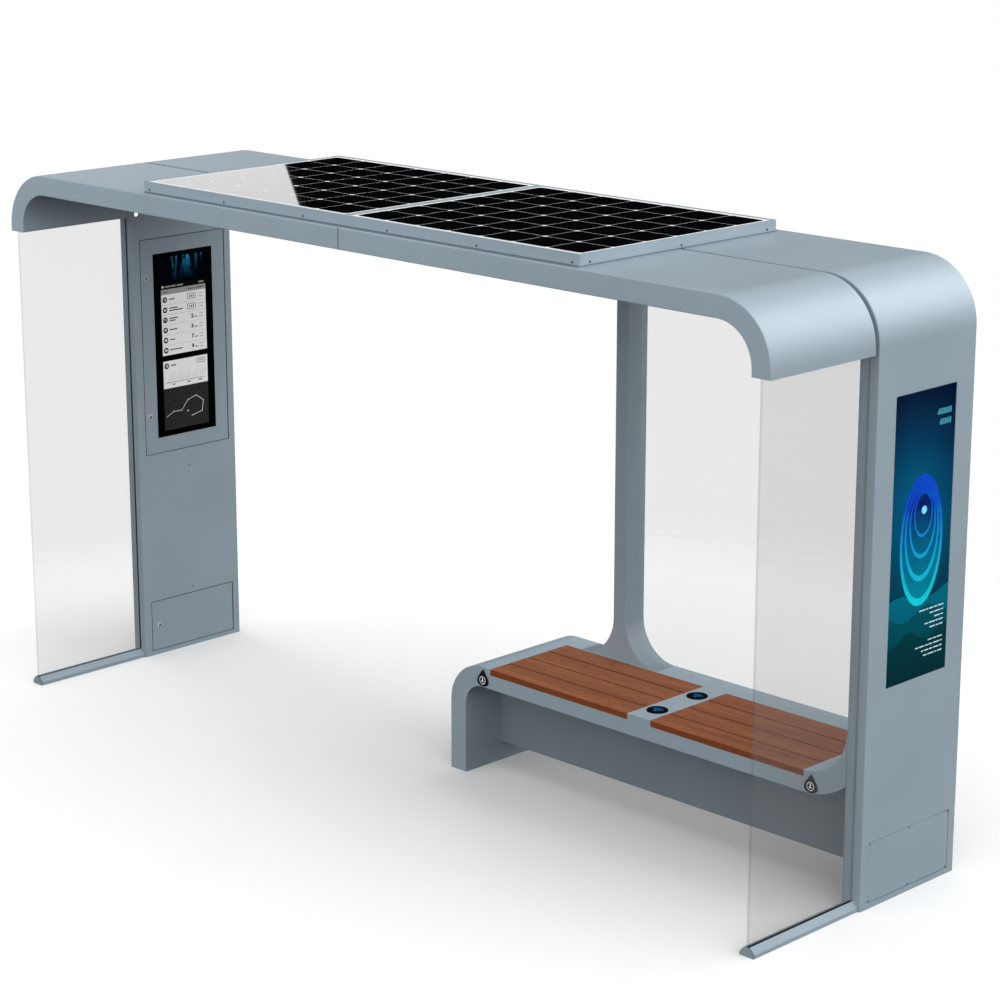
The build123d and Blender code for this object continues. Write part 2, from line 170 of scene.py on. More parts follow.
# ---- shader building
class Shading:
    """A node tree under construction, with short ways to add and join nodes."""

    def __init__(self, owner: bpy.types.ID, output: str = "OutputMaterial") -> None:
        """Starts an empty node tree.

        Args:
            owner: The material or world that the tree belongs to.
            output: Type of its output node after "ShaderNode".
        """
        owner.use_nodes = True
        self.tree = owner.node_tree
        self.tree.nodes.clear()
        self.end = self.node(output).inputs["Surface"]

    def node(self, kind: str, inputs: dict | None = None, **settings: object) -> bpy.types.Node:
        """Adds a node.

        Args:
            kind: The node's type after "ShaderNode".
            inputs: Values or sockets for its inputs, by name or number.
            settings: Properties of the node.

        Returns:
            The new node.
        """
        made = self.tree.nodes.new("ShaderNode" + kind)
        for name, value in settings.items():
            setattr(made, name, value)
        for name, value in (inputs or {}).items():
            if isinstance(value, bpy.types.NodeSocket):
                self.tree.links.new(value, made.inputs[name])
            else:
                made.inputs[name].default_value = value
        return made

    def out(self, kind: str, inputs: dict | None = None, pick: int | str = 0,
            **settings: object) -> Socket:
        """Adds a node and gives the picked one of its outputs."""
        return self.node(kind, inputs, **settings).outputs[pick]

    def place(self, scale: Point = (1, 1, 1), centre: Point = (0, 0, 0)) -> Socket:
        """Object coordinates, scaled from a centre."""
        shift = [-c * s for c, s in zip(centre, scale)]
        return self.out("Mapping", {0: self.out("TexCoord", pick="Object"), "Location": shift,
                                    "Scale": scale})

    def part(self, axis: Axis, source: Socket | None = None) -> Socket:
        """One coordinate of a vector, or else of the object coordinates."""
        return self.out("SeparateXYZ", {0: source or self.place()}, axis.name)

    def away(self, scale: Point = (1, 1, 1), centre: Point = (0, 0, 0)) -> Socket:
        """The distance from a centre, in scaled object coordinates."""
        return self.out("VectorMath", {0: self.place(scale, centre)}, "Value", operation="LENGTH")

    def noise(self, scale: float, detail: float = 2.0, rough: float = 0.5,
              stretch: Point = (1, 1, 1), distort: float = 0.0) -> Socket:
        """A noise value between 0 and 1."""
        return self.out("TexNoise", {0: self.place(stretch), "Scale": scale, "Detail": detail,
                                     "Roughness": rough, "Distortion": distort})

    def ramp(self, value: Socket, start: float = 0.0, end: float = 1.0, low: float = NOISE[0],
             high: float = NOISE[1], **settings: object) -> Socket:
        """Maps values from low to high to values from start to end, clamped."""
        return self.out("MapRange", {0: value, 1: low, 2: high, 3: start, 4: end}, **settings)

    def stops(self, value: Socket, colours: Sequence[tuple[float, Colour]]) -> Socket:
        """A colour that changes with a value.

        Args:
            value: The value, 0 to 1.
            colours: Places from 0 to 1 and the colour at each, in order.

        Returns:
            The colour.
        """
        ramp = self.node("ValToRGB", {0: value})
        stops = ramp.color_ramp.elements
        for at, _ in colours[1:-1]:
            stops.new(at)
        for stop, (_, colour) in zip(stops, colours):
            stop.color = colour
        return ramp.outputs["Color"]

    def mix(self, share: Socket | float, first: object, second: object) -> Socket:
        """Mixes two colours; the share is the second one's."""
        return self.out("Mix", {0: share, 6: first, 7: second}, 2, data_type="RGBA")

    def blend(self, share: Socket | float, first: Socket, second: Socket) -> Socket:
        """Mixes two shaders; the share is the second one's."""
        return self.out("MixShader", {0: share, 1: first, 2: second})

    def maths(self, operation: str, *values: Socket | float) -> Socket:
        """One sum on values."""
        return self.out("Math", dict(enumerate(values)), operation=operation)

    def tinted(self, colour: Colour, amount: Socket) -> Socket:
        """A colour times an amount."""
        return self.out("VectorMath", {0: colour[:3], 3: amount}, operation="SCALE")

    def bump(self, height: Socket, depth: float, strength: float = 1.0) -> Socket:
        """A normal from a height between 0 and 1; the depth is what 1 measures."""
        return self.out("Bump", {"Height": height, "Distance": depth, "Strength": strength})

    def principled(self, **inputs: object) -> Socket:
        """A Principled shader; underscores stand for the spaces in its inputs' names."""
        named = {name.replace("_", " "): value for name, value in inputs.items()}
        return self.out("BsdfPrincipled", named)

    def lit(self, colour: Socket, glow: float, **inputs: object) -> Socket:
        """A Principled shader that also gives off its own colour."""
        return self.principled(Base_Color=colour, Emission_Color=colour, Emission_Strength=glow,
                               **inputs)

    def seen(self) -> Socket:
        """Whether the camera looks here, straight or through glass."""
        path = self.node("LightPath").outputs
        return self.maths("MAXIMUM", path["Is Camera Ray"], path["Is Transmission Ray"])

    def done(self, shader: Socket) -> None:
        """Joins the surface shader to the output."""
        self.tree.links.new(shader, self.end)


# ---- finishes
@dataclass(frozen=True)
class Finish:
    """Base of all finishes: a named node material, and the record's slot that it fills."""

    name: str
    slot: Slot

    def begin(self) -> Shading:
        """Starts the material's node tree."""
        return Shading(bpy.data.materials.new(self.name))

    def make(self) -> None:
        """Builds the node material; each finish has its own."""
        raise NotImplementedError

    @property
    def material(self) -> bpy.types.Material:
        """The material, built on first use."""
        if self.name not in bpy.data.materials:
            self.make()
        return bpy.data.materials[self.name]


@dataclass(frozen=True)
class PowderCoat(Finish):
    """Satin powder coat with a fine orange-peel skin."""

    colour: Colour = srgb(141, 156, 166)
    roughness: float = 0.46
    cloud: float = 0.03
    peel: float = 0.015
    peel_depth: float = 0.00006

    def make(self) -> None:
        """Builds the paint."""
        nodes = self.begin()
        cloud, grain = nodes.noise(3.0, 3.0), nodes.noise(700.0, 1.0)
        tint = nodes.maths("MULTIPLY", nodes.ramp(cloud, 1 - self.cloud, 1 + self.cloud),
                           nodes.ramp(grain, 1 - self.peel, 1 + self.peel, 0.35, 0.65))
        rough = nodes.ramp(cloud, self.roughness - self.cloud, self.roughness + self.cloud)
        nodes.done(nodes.principled(Base_Color=nodes.tinted(self.colour, tint), Roughness=rough,
                                    Normal=nodes.bump(grain, self.peel_depth)))


@dataclass(frozen=True)
class ClearSheet(Finish):
    """Clear safety glass: slightly grey, see-through, with plain reflections."""

    tint: Colour = (0.926, 0.926, 0.926, 1.0)
    shadow: Colour = (0.92, 0.92, 0.92, 1.0)
    straight: float = 0.015
    haze: float = 0.02

    def make(self) -> None:
        """Builds the glass, which lets lamps through as a pane does."""
        nodes = self.begin()
        clear = nodes.out("BsdfTransparent", {"Color": self.tint})
        veil = nodes.out("BsdfDiffuse", {"Color": WHITE})
        gloss = nodes.out("BsdfGlossy", {"Color": WHITE, "Roughness": 0.0})
        facing = nodes.out("LayerWeight", {"Blend": 0.5}, "Facing")
        share = nodes.maths("MULTIPLY_ADD", nodes.maths("POWER", facing, 5.0), 1 - self.straight,
                            self.straight)
        sheet = nodes.blend(share, nodes.blend(self.haze, clear, veil), gloss)
        nodes.done(nodes.blend(nodes.out("LightPath", pick="Is Shadow Ray"), sheet,
                               nodes.out("BsdfTransparent", {"Color": self.shadow})))


@dataclass(frozen=True)
class SheetEdge(Finish):
    """Polished edge of laminated glass, a little violet."""

    colour: Colour = srgb(150, 150, 162)
    streak: Colour = srgb(128, 128, 146)
    clear: Colour = srgb(240, 240, 244)
    opacity: float = 0.12

    def make(self) -> None:
        """Builds the edge."""
        nodes = self.begin()
        streak = nodes.ramp(nodes.noise(60.0, stretch=(6, 6, 0.3)))
        body = nodes.principled(Base_Color=nodes.mix(streak, self.colour, self.streak),
                                Roughness=0.12)
        clear = nodes.out("BsdfTransparent", {"Color": self.clear})
        nodes.done(nodes.blend(self.opacity, clear, body))


@dataclass(frozen=True)
class OiledWood(Finish):
    """Reddish-brown hardwood with a fine straight grain along X."""

    light: Colour = srgb(151, 94, 60)
    dark: Colour = srgb(106, 57, 35)
    pore: Colour = srgb(66, 37, 26)
    # Painted shade: the upright faces, the plank fronts and the faces in the gaps between planks,
    # take this darker colour.
    end: Colour = srgb(108, 44, 4)
    sawn: float = 0.65
    roughness: Pair = (0.54, 0.68)

    def make(self) -> None:
        """Builds the wood."""
        nodes = self.begin()
        bands = nodes.noise(14.0, 5.0, 0.6, (0.09, 1.6, 1.6), 0.4)
        fine = nodes.noise(130.0, 4.0, 0.65, (0.05, 1.5, 1.5))
        pores = nodes.noise(420.0, stretch=(0.06, 1.0, 1.0))
        board = nodes.noise(2.2, 0.0, stretch=(0.35, 4.2, 0.2))
        tone = nodes.maths("MULTIPLY_ADD", nodes.ramp(bands), 0.45,
                           nodes.maths("MULTIPLY", nodes.ramp(fine), 0.45))
        tone = nodes.maths("ADD", tone, nodes.ramp(board, -0.08, 0.12, 0.35, 0.65))
        base = nodes.mix(tone, self.light, self.dark)
        base = nodes.mix(nodes.ramp(pores, 0.55, 0.0, 0.36, 0.46), base, self.pore)
        # Painted shade: faces that stand upright turn towards the darker end colour.
        level = nodes.part(Axis.Z, nodes.out("NewGeometry", pick="Normal"))
        base = nodes.mix(nodes.ramp(level, self.sawn, 0.0, 0.3, 0.8), base, self.end)
        height = nodes.maths("MULTIPLY_ADD", fine, 0.6, nodes.maths("MULTIPLY", pores, 0.4))
        nodes.done(nodes.principled(Base_Color=base, Roughness=nodes.ramp(fine, *self.roughness),
                                    Specular_IOR_Level=0.2, Normal=nodes.bump(height, 0.0003, 0.6)))


@dataclass(frozen=True)
class Plain(Finish):
    """One even material with a fine broken surface: plastic, rubber, print or steel."""

    colour: Colour
    roughness: float = 0.3
    metallic: float = 0.0
    coat: float = 0.0
    specular: float = 0.5
    grain_scale: float = 900.0
    grain_depth: float = 0.00003
    variation: float = 0.05
    glow: float = 0.0

    def make(self) -> None:
        """Builds the material."""
        nodes = self.begin()
        grain = nodes.noise(self.grain_scale)
        base = nodes.tinted(self.colour, nodes.ramp(grain, 1 - self.variation, 1 + self.variation))
        values = dict(Roughness=nodes.ramp(grain, self.roughness - 0.04, self.roughness + 0.04),
                      Metallic=self.metallic, Coat_Weight=self.coat, Coat_Roughness=0.03,
                      Specular_IOR_Level=self.specular, Normal=nodes.bump(grain, self.grain_depth))
        nodes.done(nodes.lit(base, self.glow, **values) if self.glow
                   else nodes.principled(Base_Color=base, **values))


@dataclass(frozen=True)
class SolarCell(Finish):
    """Black monocrystalline cell under glass, with faint silver fingers."""

    colour: Colour = (0.0022, 0.0024, 0.0034, 1.0)
    cloud: Colour = (0.0010, 0.0014, 0.0030, 1.0)
    finger: Colour = (0.010, 0.011, 0.013, 1.0)
    finger_pitch: float = 0.0021
    finger_share: float = 0.12

    def make(self) -> None:
        """Builds the cell."""
        nodes = self.begin()
        wave = nodes.maths("FRACT", nodes.maths("DIVIDE", nodes.part(Axis.Y), self.finger_pitch))
        line = nodes.maths("LESS_THAN", wave, self.finger_share)
        base = nodes.mix(line, self.colour, self.finger)
        base = nodes.mix(nodes.ramp(nodes.noise(9.0), 0.0, 0.4), base, self.cloud)
        nodes.done(nodes.principled(Base_Color=base, Roughness=0.35, Specular_IOR_Level=0.0,
                                    Coat_Weight=1.0, Coat_Roughness=0.02, Coat_IOR=1.5))


@dataclass(frozen=True)
class PosterGround(Finish):
    """Ground of the picture: night blue above, through teal, to deep teal below, with a glow."""

    middle: Vector
    height: float
    fade: tuple[tuple[float, Colour], ...] = (
        (0.0, srgb(0, 40, 54)), (0.30, srgb(0, 60, 80)), (0.55, srgb(0, 66, 96)),
        (0.80, srgb(0, 30, 64)), (1.0, srgb(0, 10, 40)))
    light: Colour = srgb(0, 108, 150)
    light_at: Pair = (-0.04, 0.16)
    reach: float = 0.34

    def make(self) -> None:
        """Builds the ground."""
        nodes = self.begin()
        up, half = nodes.part(Axis.Z, nodes.place(centre=self.middle)), self.height / 2
        base = nodes.stops(nodes.ramp(up, 0.0, 1.0, -half, half), self.fade)
        centre = (0, self.middle.y + self.light_at[0], self.middle.z + self.light_at[1])
        near = nodes.ramp(nodes.away((0, 1.0, 0.8), centre), 1.0, 0.0, 0.0, self.reach)
        glow = nodes.maths("MULTIPLY", nodes.maths("POWER", near, 1.8), 0.55)
        nodes.done(nodes.lit(nodes.mix(glow, base, self.light), 0.12, Roughness=0.25,
                             Coat_Weight=1.0, Coat_Roughness=0.02))


@dataclass(frozen=True)
class Fade(Finish):
    """Lit colour that fades from one to another with height."""

    foot: Colour
    top: Colour
    low: float
    high: float

    def make(self) -> None:
        """Builds the fade."""
        nodes = self.begin()
        streak = nodes.ramp(nodes.noise(30.0, 3.0), -0.06, 0.06)
        share = nodes.maths("ADD", nodes.ramp(nodes.part(Axis.Z), 0.0, 1.0, self.low, self.high),
                            streak)
        nodes.done(nodes.lit(nodes.mix(share, self.foot, self.top), 0.25, Roughness=0.3,
                             Specular_IOR_Level=0.2))


@dataclass(frozen=True)
class NightLights(Finish):
    """Dark picture with upright cyan glows."""

    dark: Colour = srgb(0, 4, 11)
    light: Colour = srgb(40, 170, 225)
    low: float = 1.64
    high: float = 1.74

    def make(self) -> None:
        """Builds the picture."""
        nodes = self.begin()
        column = nodes.ramp(nodes.noise(1.0, 1.0, stretch=(1, 55, 5)), 0.0, 1.0, 0.54, 0.8)
        glint = nodes.ramp(nodes.noise(1.0, stretch=(1, 150, 40)), 0.0, 1.0, 0.35, 0.65)
        fall = nodes.maths("POWER", nodes.ramp(nodes.part(Axis.Z), 0.08, 1.0, self.low, self.high),
                           2.0)
        share = nodes.maths("MULTIPLY", nodes.maths("MULTIPLY", column, glint), fall)
        nodes.done(nodes.lit(nodes.mix(share, self.dark, self.light), 0.5, Roughness=0.3,
                             Specular_IOR_Level=0.0))


PAINT = PowderCoat("satin_blue_grey", Slot.PAINT)
# Painted shade: a darker copy of the paint for the roof's groove strip, the bench beam, and the
# bench's inner side and underside.
SHADE_PAINT = PowderCoat("painted_shade_blue_grey", Slot.PAINT, srgb(120, 132, 140))
GLASS = ClearSheet("clear_safety_glass", Slot.GLASS)
GLASS_EDGE = SheetEdge("polished_glass_edge", Slot.GLASS)
WOOD = OiledWood("oiled_hardwood", Slot.WOOD)
RUBBER = Plain("black_rubber", Slot.HOUSING, srgb(18, 19, 21), 0.55, variation=0.1)
BLACK_STEEL = Plain("black_coated_steel", Slot.HOUSING, srgb(34, 35, 37), 0.45, variation=0.08)
GROOVE = Plain("dark_joint_seal", Slot.HOUSING, srgb(14, 15, 17), 0.7, specular=0.1, variation=0.1)
# Grey of the gasket under the solar skirt, also used for the painted shadow strip in front of it.
GASKET_AND_SHADOW_GREY = Plain("grey_gasket", Slot.HOUSING, srgb(114, 125, 133), 0.7, specular=0.1)
LENS = Plain("lamp_lens", Slot.HOUSING, srgb(250, 250, 250), 0.4, glow=1.0)
ZINC = Plain("zinc_plated_steel", Slot.HINGE, srgb(176, 178, 182), metallic=1.0)
DARK_STEEL = Plain("blackened_screw", Slot.HINGE, srgb(20, 21, 23), 0.5, specular=0.2)
SATIN_NICKEL = Plain("satin_nickel", Slot.CHROME, srgb(208, 208, 206), 0.35, metallic=0.45)
PAD = Plain("charger_black", Slot.CHARGER, srgb(5, 4, 4), 0.6, specular=0.03)
BLUE_PRINT = Plain("blue_print", Slot.CHARGER, srgb(4, 106, 176), 0.4, specular=0.1, glow=0.3)
COVER = Plain("cover_black", Slot.COVER, srgb(10, 10, 11), coat=0.15)
# Painted light: the white print glows so that it looks brighter than the light on it makes it.
GLOWING_WHITE_PRINT = Plain("white_print_painted_glow", Slot.COVER, srgb(226, 228, 228), 0.45, glow=0.2)
BLACK_GLASS = Plain("black_screen_glass", Slot.SCREEN, srgb(3, 3, 4), 0.15, specular=0.3,
                    grain_depth=0.0)
SCREEN_WHITE = Plain("screen_white", Slot.SCREEN, srgb(214, 214, 214), variation=0.01, glow=0.25)
SCREEN_GREY = Plain("screen_grey", Slot.SCREEN, srgb(150, 150, 152), variation=0.02, glow=0.1)
INK = Plain("screen_black", Slot.SCREEN, srgb(6, 6, 7), specular=0.1, variation=0.0)
PLAN_GROUND = Plain("plan_ground", Slot.SCREEN, srgb(44, 44, 46), specular=0.1, grain_scale=60.0,
                    variation=0.08)
NIGHT = NightLights("night_lights", Slot.SCREEN)
POSTER_PALE = Plain("poster_pale", Slot.SCREEN, srgb(176, 200, 208), variation=0.01, glow=0.2)
POSTER_TEAL = Plain("poster_teal", Slot.SCREEN, srgb(60, 140, 160), variation=0.02, glow=0.2)
CELL = SolarCell("solar_cell", Slot.SOLAR)
BACKSHEET = Plain("white_backsheet", Slot.SOLAR, srgb(226, 227, 227), 0.6, specular=0.0,
                  variation=0.02)


# ---- mesh building
def only(kind: type, items: Iterable[bmesh.types.BMElem]) -> list:
    """Those mesh elements that are of one kind."""
    return [item for item in items if isinstance(item, kind)]


def climb(edge: Edge) -> float:
    """How far an edge goes up or down."""
    return abs(edge.verts[0].co.z - edge.verts[1].co.z)


def shown(name: str, data: bpy.types.ID) -> bpy.types.Object:
    """A new object in the scene.

    Args:
        name: Its name.
        data: Its mesh, lamp or camera.

    Returns:
        The object.
    """
    made = bpy.data.objects.new(name, data)
    bpy.context.scene.collection.objects.link(made)
    return made


class Form:
    """A mesh under construction with bmesh operators."""

    def __init__(self) -> None:
        """Starts an empty mesh."""
        self.bm = bmesh.new()

    def block(self, low: Point, high: Point) -> list[Vert]:
        """Adds a block between its lowest and its highest corner and gives its vertices."""
        low, high = Vector(low), Vector(high)
        return bmesh.ops.create_cube(self.bm, size=1.0, matrix=Matrix.LocRotScale(
            (low + high) / 2, None, high - low))["verts"]

    def tile(self, low: Point, high: Point, corner: float, steps: int) -> None:
        """Adds a block with rounded or cut upright corners.

        Args:
            low: Lowest corner.
            high: Highest corner.
            corner: Radius of the upright corners.
            steps: Segments in each.
        """
        edges = {edge for vert in self.block(low, high) for edge in vert.link_edges}
        half = (high[2] - low[2]) / 2
        self.soften([edge for edge in edges if climb(edge) > half], corner, steps)

    def stud(self, foot: Point, towards: Point, radius: float, length: float, tip: float = 1.0,
             sides: int = 32) -> Face:
        """Adds a cylinder or a cone piece that stands on a point.

        Args:
            foot: The middle of its foot.
            towards: The direction it stands in.
            radius: Radius at its foot.
            length: Its length.
            tip: Radius at its tip, as a share of that.
            sides: Number of sides.

        Returns:
            The face at its tip.
        """
        along = Vector(towards)
        place = Matrix.LocRotScale(Vector(foot) + along * length / 2,
                                   Axis.Z.vector.rotation_difference(along), None)
        verts = bmesh.ops.create_cone(
            self.bm, cap_ends=True, cap_tris=False, segments=sides, radius1=radius,
            radius2=radius * tip, depth=length, matrix=place)["verts"]
        return max({face for vert in verts for face in vert.link_faces},
                   key=lambda f: f.calc_center_median().dot(along))

    def dish(self, face: Face, rim: float, depth: float) -> None:
        """Sinks the middle of a face and leaves its rim."""
        bmesh.ops.inset_region(self.bm, faces=[face], thickness=rim, depth=0.0)
        self.pull([face], face.normal * -depth)

    def screw(self, foot: Point, towards: Point, radius: float) -> None:
        """Adds a low screw head with a round socket."""
        head = self.stud(foot, towards, radius, radius * 0.4, tip=0.8, sides=18)
        self.dish(head, radius * 0.35, radius * 0.25)

    def outline(self, corners: Sequence[Pair], plane: Axis, at: float,
                radii: Sequence[float] = (), steps: int = 12) -> Face:
        """Adds a flat face through some corners, with some of them rounded.

        Args:
            corners: Corners in the two other axes, in order.
            plane: The axis that the face is square to.
            at: The face's place on that axis.
            radii: A radius for each corner, 0 for a sharp one.
            steps: Segments in each rounded corner.

        Returns:
            The face.
        """
        gap = plane.value
        verts = [self.bm.verts.new((*point[:gap], at, *point[gap:])) for point in corners]
        made = self.bm.faces.new(verts)
        for vert, radius in zip(verts, radii):
            if radius:
                bmesh.ops.bevel(self.bm, geom=[vert], offset=radius, offset_type="OFFSET",
                                segments=steps, profile=0.5, affect="VERTICES", material=-1)
                self.bm.faces.ensure_lookup_table()
                made = made if made.is_valid else self.bm.faces[-1]
        return made

    @staticmethod
    def region(faces: list[Face]) -> list[bmesh.types.BMElem]:
        """Faces with their edges, so that growing them leaves nothing behind inside."""
        return [*faces, *{edge for face in faces for edge in face.edges}]

    def pull(self, faces: list[Face], by: Point) -> list[Face]:
        """Extrudes faces as one region.

        Args:
            faces: The faces.
            by: Where their copy moves.

        Returns:
            The faces at the new end.
        """
        grown = bmesh.ops.extrude_face_region(self.bm, geom=self.region(faces))["geom"]
        bmesh.ops.translate(self.bm, verts=only(Vert, grown), vec=Vector(by))
        return only(Face, grown)

    def bend(self, faces: list[Face], centre: Point, angle: float, steps: int) -> list[Face]:
        """Carries end faces round an arc about an axis along Y and gives those at its end."""
        return only(Face, bmesh.ops.spin(
            self.bm, geom=self.region(faces), cent=Vector(centre), axis=Axis.Y.vector, angle=angle,
            steps=steps, use_merge=False, use_duplicate=False)["geom_last"])

    def solid(self, face: Face, by: Point) -> None:
        """Makes one flat face a closed solid."""
        self.pull([face], by)
        self.outward()

    def cut(self, axis: Axis, at: float, faces: list[Face]) -> None:
        """Splits faces across an axis, without opening the mesh."""
        verts = {vert for face in faces for vert in face.verts}
        bmesh.ops.bisect_plane(self.bm, geom=[*verts, *self.region(faces)], dist=MERGE,
                               plane_co=axis.vector * at, plane_no=axis.vector)

    def facing(self, axis: Axis, sign: int = 1) -> list[Face]:
        """The faces that look along an axis, or against it."""
        return [f for f in self.bm.faces if sign * f.normal[axis.value] > FLAT]

    def soften(self, edges: Iterable[Edge], radius: float, steps: int = 3) -> None:
        """Rounds edges with some segments across each."""
        bmesh.ops.bevel(self.bm, geom=list(edges), offset=radius, offset_type="OFFSET",
                        segments=steps, profile=0.5, affect="EDGES", material=-1,
                        clamp_overlap=True)

    def folded(self, keep: Callable[[Edge], bool] = lambda edge: True) -> list[Edge]:
        """The mesh's edges with a fold of over 30 degrees that pass a test."""
        return [e for e in self.bm.edges if len(e.link_faces) == 2
                and e.calc_face_angle(0.0) > math.radians(30) and keep(e)]

    def rim(self, axis: Axis, at: float, within: float = TOUCH) -> list[Edge]:
        """The folded edges that lie in a plane square to an axis, or within a distance of it."""
        return self.folded(lambda e: all(abs(v.co[axis.value] - at) < within for v in e.verts))

    def flip(self) -> None:
        """Mirrors the mesh to the other end of the shelter."""
        bmesh.ops.scale(self.bm, vec=Vector((-1, 1, 1)), verts=self.bm.verts[:])
        bmesh.ops.reverse_faces(self.bm, faces=self.bm.faces[:])

    def outward(self) -> None:
        """Merges doubles and points every face outwards."""
        bmesh.ops.remove_doubles(self.bm, verts=self.bm.verts[:], dist=MERGE)
        bmesh.ops.recalc_face_normals(self.bm, faces=self.bm.faces[:])

    def made(self, name: str) -> bpy.types.Object:
        """Ends the mesh.

        Args:
            name: The object's name.

        Returns:
            The new object, still without a material.
        """
        mesh = bpy.data.meshes.new(name)
        self.bm.to_mesh(mesh)
        self.bm.free()
        return shown(name, mesh)

    def piece(self, name: str, finish: Finish, stands_for: Sequence[str] = (),
              body: Body = Body.SHELTER, slot: Slot | None = None,
              smooth: float = 32.0) -> bpy.types.Object:
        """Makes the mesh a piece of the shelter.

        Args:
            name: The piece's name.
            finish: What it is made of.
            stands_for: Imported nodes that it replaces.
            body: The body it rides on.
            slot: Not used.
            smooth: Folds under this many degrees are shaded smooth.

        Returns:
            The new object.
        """
        made = self.made(name)
        made.data.materials.append(finish.material)
        made.data.shade_smooth()
        made.data.set_sharp_from_angle(angle=math.radians(smooth))
        made.modifiers.new("even_shading", "WEIGHTED_NORMAL").keep_sharp = True
        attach(made, body.value)
        if stands_for:
            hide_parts(*stands_for)
        log.info("%-28s %6d faces", name, len(made.data.polygons))
        return made


def dress(finish: Finish, *nodes: str) -> None:
    """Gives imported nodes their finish.

    Args:
        finish: What they are made of.
        nodes: Their names.
    """
    for node in nodes:
        mesh = frame["nodes"][node].data
        mesh.materials.clear()
        mesh.materials.append(finish.material)
        log.info("%-28s dressed", node)


class Print:
    """Thin marks on a flat face; u runs to the viewer's right, v up, and levels lie in steps."""

    STEP = 0.00012
    DIGITS, HEAVY = 1.4, 0.07  # a font's size and its thickening, for digits 1 high

    def __init__(self, origin: Point, right: Axis = Axis.Y, up: Axis = Axis.Z) -> None:
        """Starts an empty print at the face's lower left corner, with the axes of u and v."""
        self.form, axes = Form(), (right.vector, up.vector, right.vector.cross(up.vector))
        self.place = Matrix.Translation(Vector(origin)) @ Matrix(axes).transposed().to_4x4()

    def bar(self, low: Pair, high: Pair, level: int = 1) -> None:
        """A rectangle between its lower left and its upper right corner."""
        self.form.block((*low, -self.STEP), (*high, level * self.STEP))

    def row(self, low: float, high: float, spans: Iterable[Pair], level: int = 2) -> None:
        """Rectangles of one height, each from its start over its length."""
        for start, length in spans:
            self.bar((start, low), (start + length, high), level)

    def tile(self, low: Pair, high: Pair, level: int, corner: float) -> None:
        """A rectangle with round corners."""
        self.form.tile((*low, -self.STEP), (*high, level * self.STEP), corner, 4)

    def disc(self, centre: Pair, radius: float, level: int = 1) -> None:
        """A disc."""
        self.form.stud((*centre, 0), (0, 0, 1), radius, level * self.STEP)

    def line(self, start: Pair, end: Pair, width: float) -> None:
        """A straight line on the second level.

        Args:
            start: Where it starts.
            end: Where it ends.
            width: Its width.
        """
        start, end = Vector(start), Vector(end)
        run, half = end - start, (end - start).length / 2
        verts = self.form.block((-half, -width / 2, 0), (half, width / 2, 2 * self.STEP))
        turn = Matrix.Rotation(math.atan2(run.y, run.x), 4, "Z")
        bmesh.ops.transform(self.form.bm, verts=verts,
                            matrix=Matrix.Translation((*(start + end) / 2, 0)) @ turn)

    def ring(self, centre: Pair, radius: float, width: float, level: int = 1,
             stretch: float = 1.0) -> None:
        """A flat ring, round or long.

        Args:
            centre: Its middle.
            radius: Its outer radius along u.
            width: Its width.
            level: How many steps it stands proud.
            stretch: Its height as a share of its width.
        """
        place = Matrix.LocRotScale(Vector((*centre, level * self.STEP)), None, (1, stretch, 1))
        verts = [v for r in (radius, radius - width) for v in bmesh.ops.create_circle(
            self.form.bm, cap_ends=False, radius=r, segments=64, matrix=place)["verts"]]
        bmesh.ops.bridge_loops(self.form.bm, edges=list({e for v in verts for e in v.link_edges}))

    def arc(self, centre: Pair, radius: float, width: float, start: float, sweep: float) -> None:
        """Part of a ring.

        Args:
            centre: Its middle.
            radius: Its mean radius.
            width: Its width.
            start: Where it starts, in degrees from u.
            sweep: How far it goes round, in degrees.
        """
        middle = Vector((*centre, self.STEP))
        spoke = Matrix.Rotation(math.radians(start), 3, "Z") @ Axis.X.vector
        ends = [bmesh.ops.create_vert(self.form.bm, co=middle + spoke * (radius + out))["vert"][0]
                for out in (-width / 2, width / 2)]
        edge = bmesh.ops.contextual_create(self.form.bm, geom=ends)["edges"]
        bmesh.ops.spin(self.form.bm, geom=[*ends, *edge], cent=middle, axis=Axis.Z.vector,
                       angle=math.radians(sweep), steps=16, use_merge=False, use_duplicate=False)

    def wave(self, width: float, height: float, crest: float, turns: float, phase: float,
             level: int) -> None:
        """A band along the bottom with a wavy top.

        Args:
            width: How far it goes along u.
            height: Mean height of its top.
            crest: Height of the waves above that.
            turns: Number of waves.
            phase: Where the first one starts, in radians.
            level: How many steps it stands proud.
        """
        middle = Vector((width / 2, height / 2, level * self.STEP))
        grid = bmesh.ops.create_grid(self.form.bm, x_segments=40, y_segments=1, size=0.5,
                                     matrix=Matrix.LocRotScale(middle, None, (width, height, 1)))
        for vert in grid["verts"]:
            if vert.co.y > height / 2:
                vert.co.y += crest * math.sin(vert.co.x / width * turns * math.tau + phase)

    def number(self, body: str, centre: Pair, size: float, level: int) -> None:
        """Digits.

        Args:
            body: The digits.
            centre: Their middle.
            size: Their height.
            level: How many steps they stand proud.
        """
        curve = bpy.data.curves.new("digits", "FONT")
        curve.body, curve.size, curve.offset = body, size * self.DIGITS, size * self.HEAVY
        curve.align_x = curve.align_y = "CENTER"
        mesh = bpy.data.meshes.new_from_object(bpy.data.objects.new("digits", curve))
        mesh.transform(Matrix.Translation((*centre, level * self.STEP)))
        self.form.bm.from_mesh(mesh)
        bpy.data.curves.remove(curve)
        bpy.data.meshes.remove(mesh)

    def piece(self, name: str, finish: Finish, body: Body = Body.SHELTER) -> None:
        """Places the marks on their face and makes them a piece that rides on a body."""
        bmesh.ops.transform(self.form.bm, matrix=self.place, verts=self.form.bm.verts[:])
        self.form.piece(name, finish, body=body)


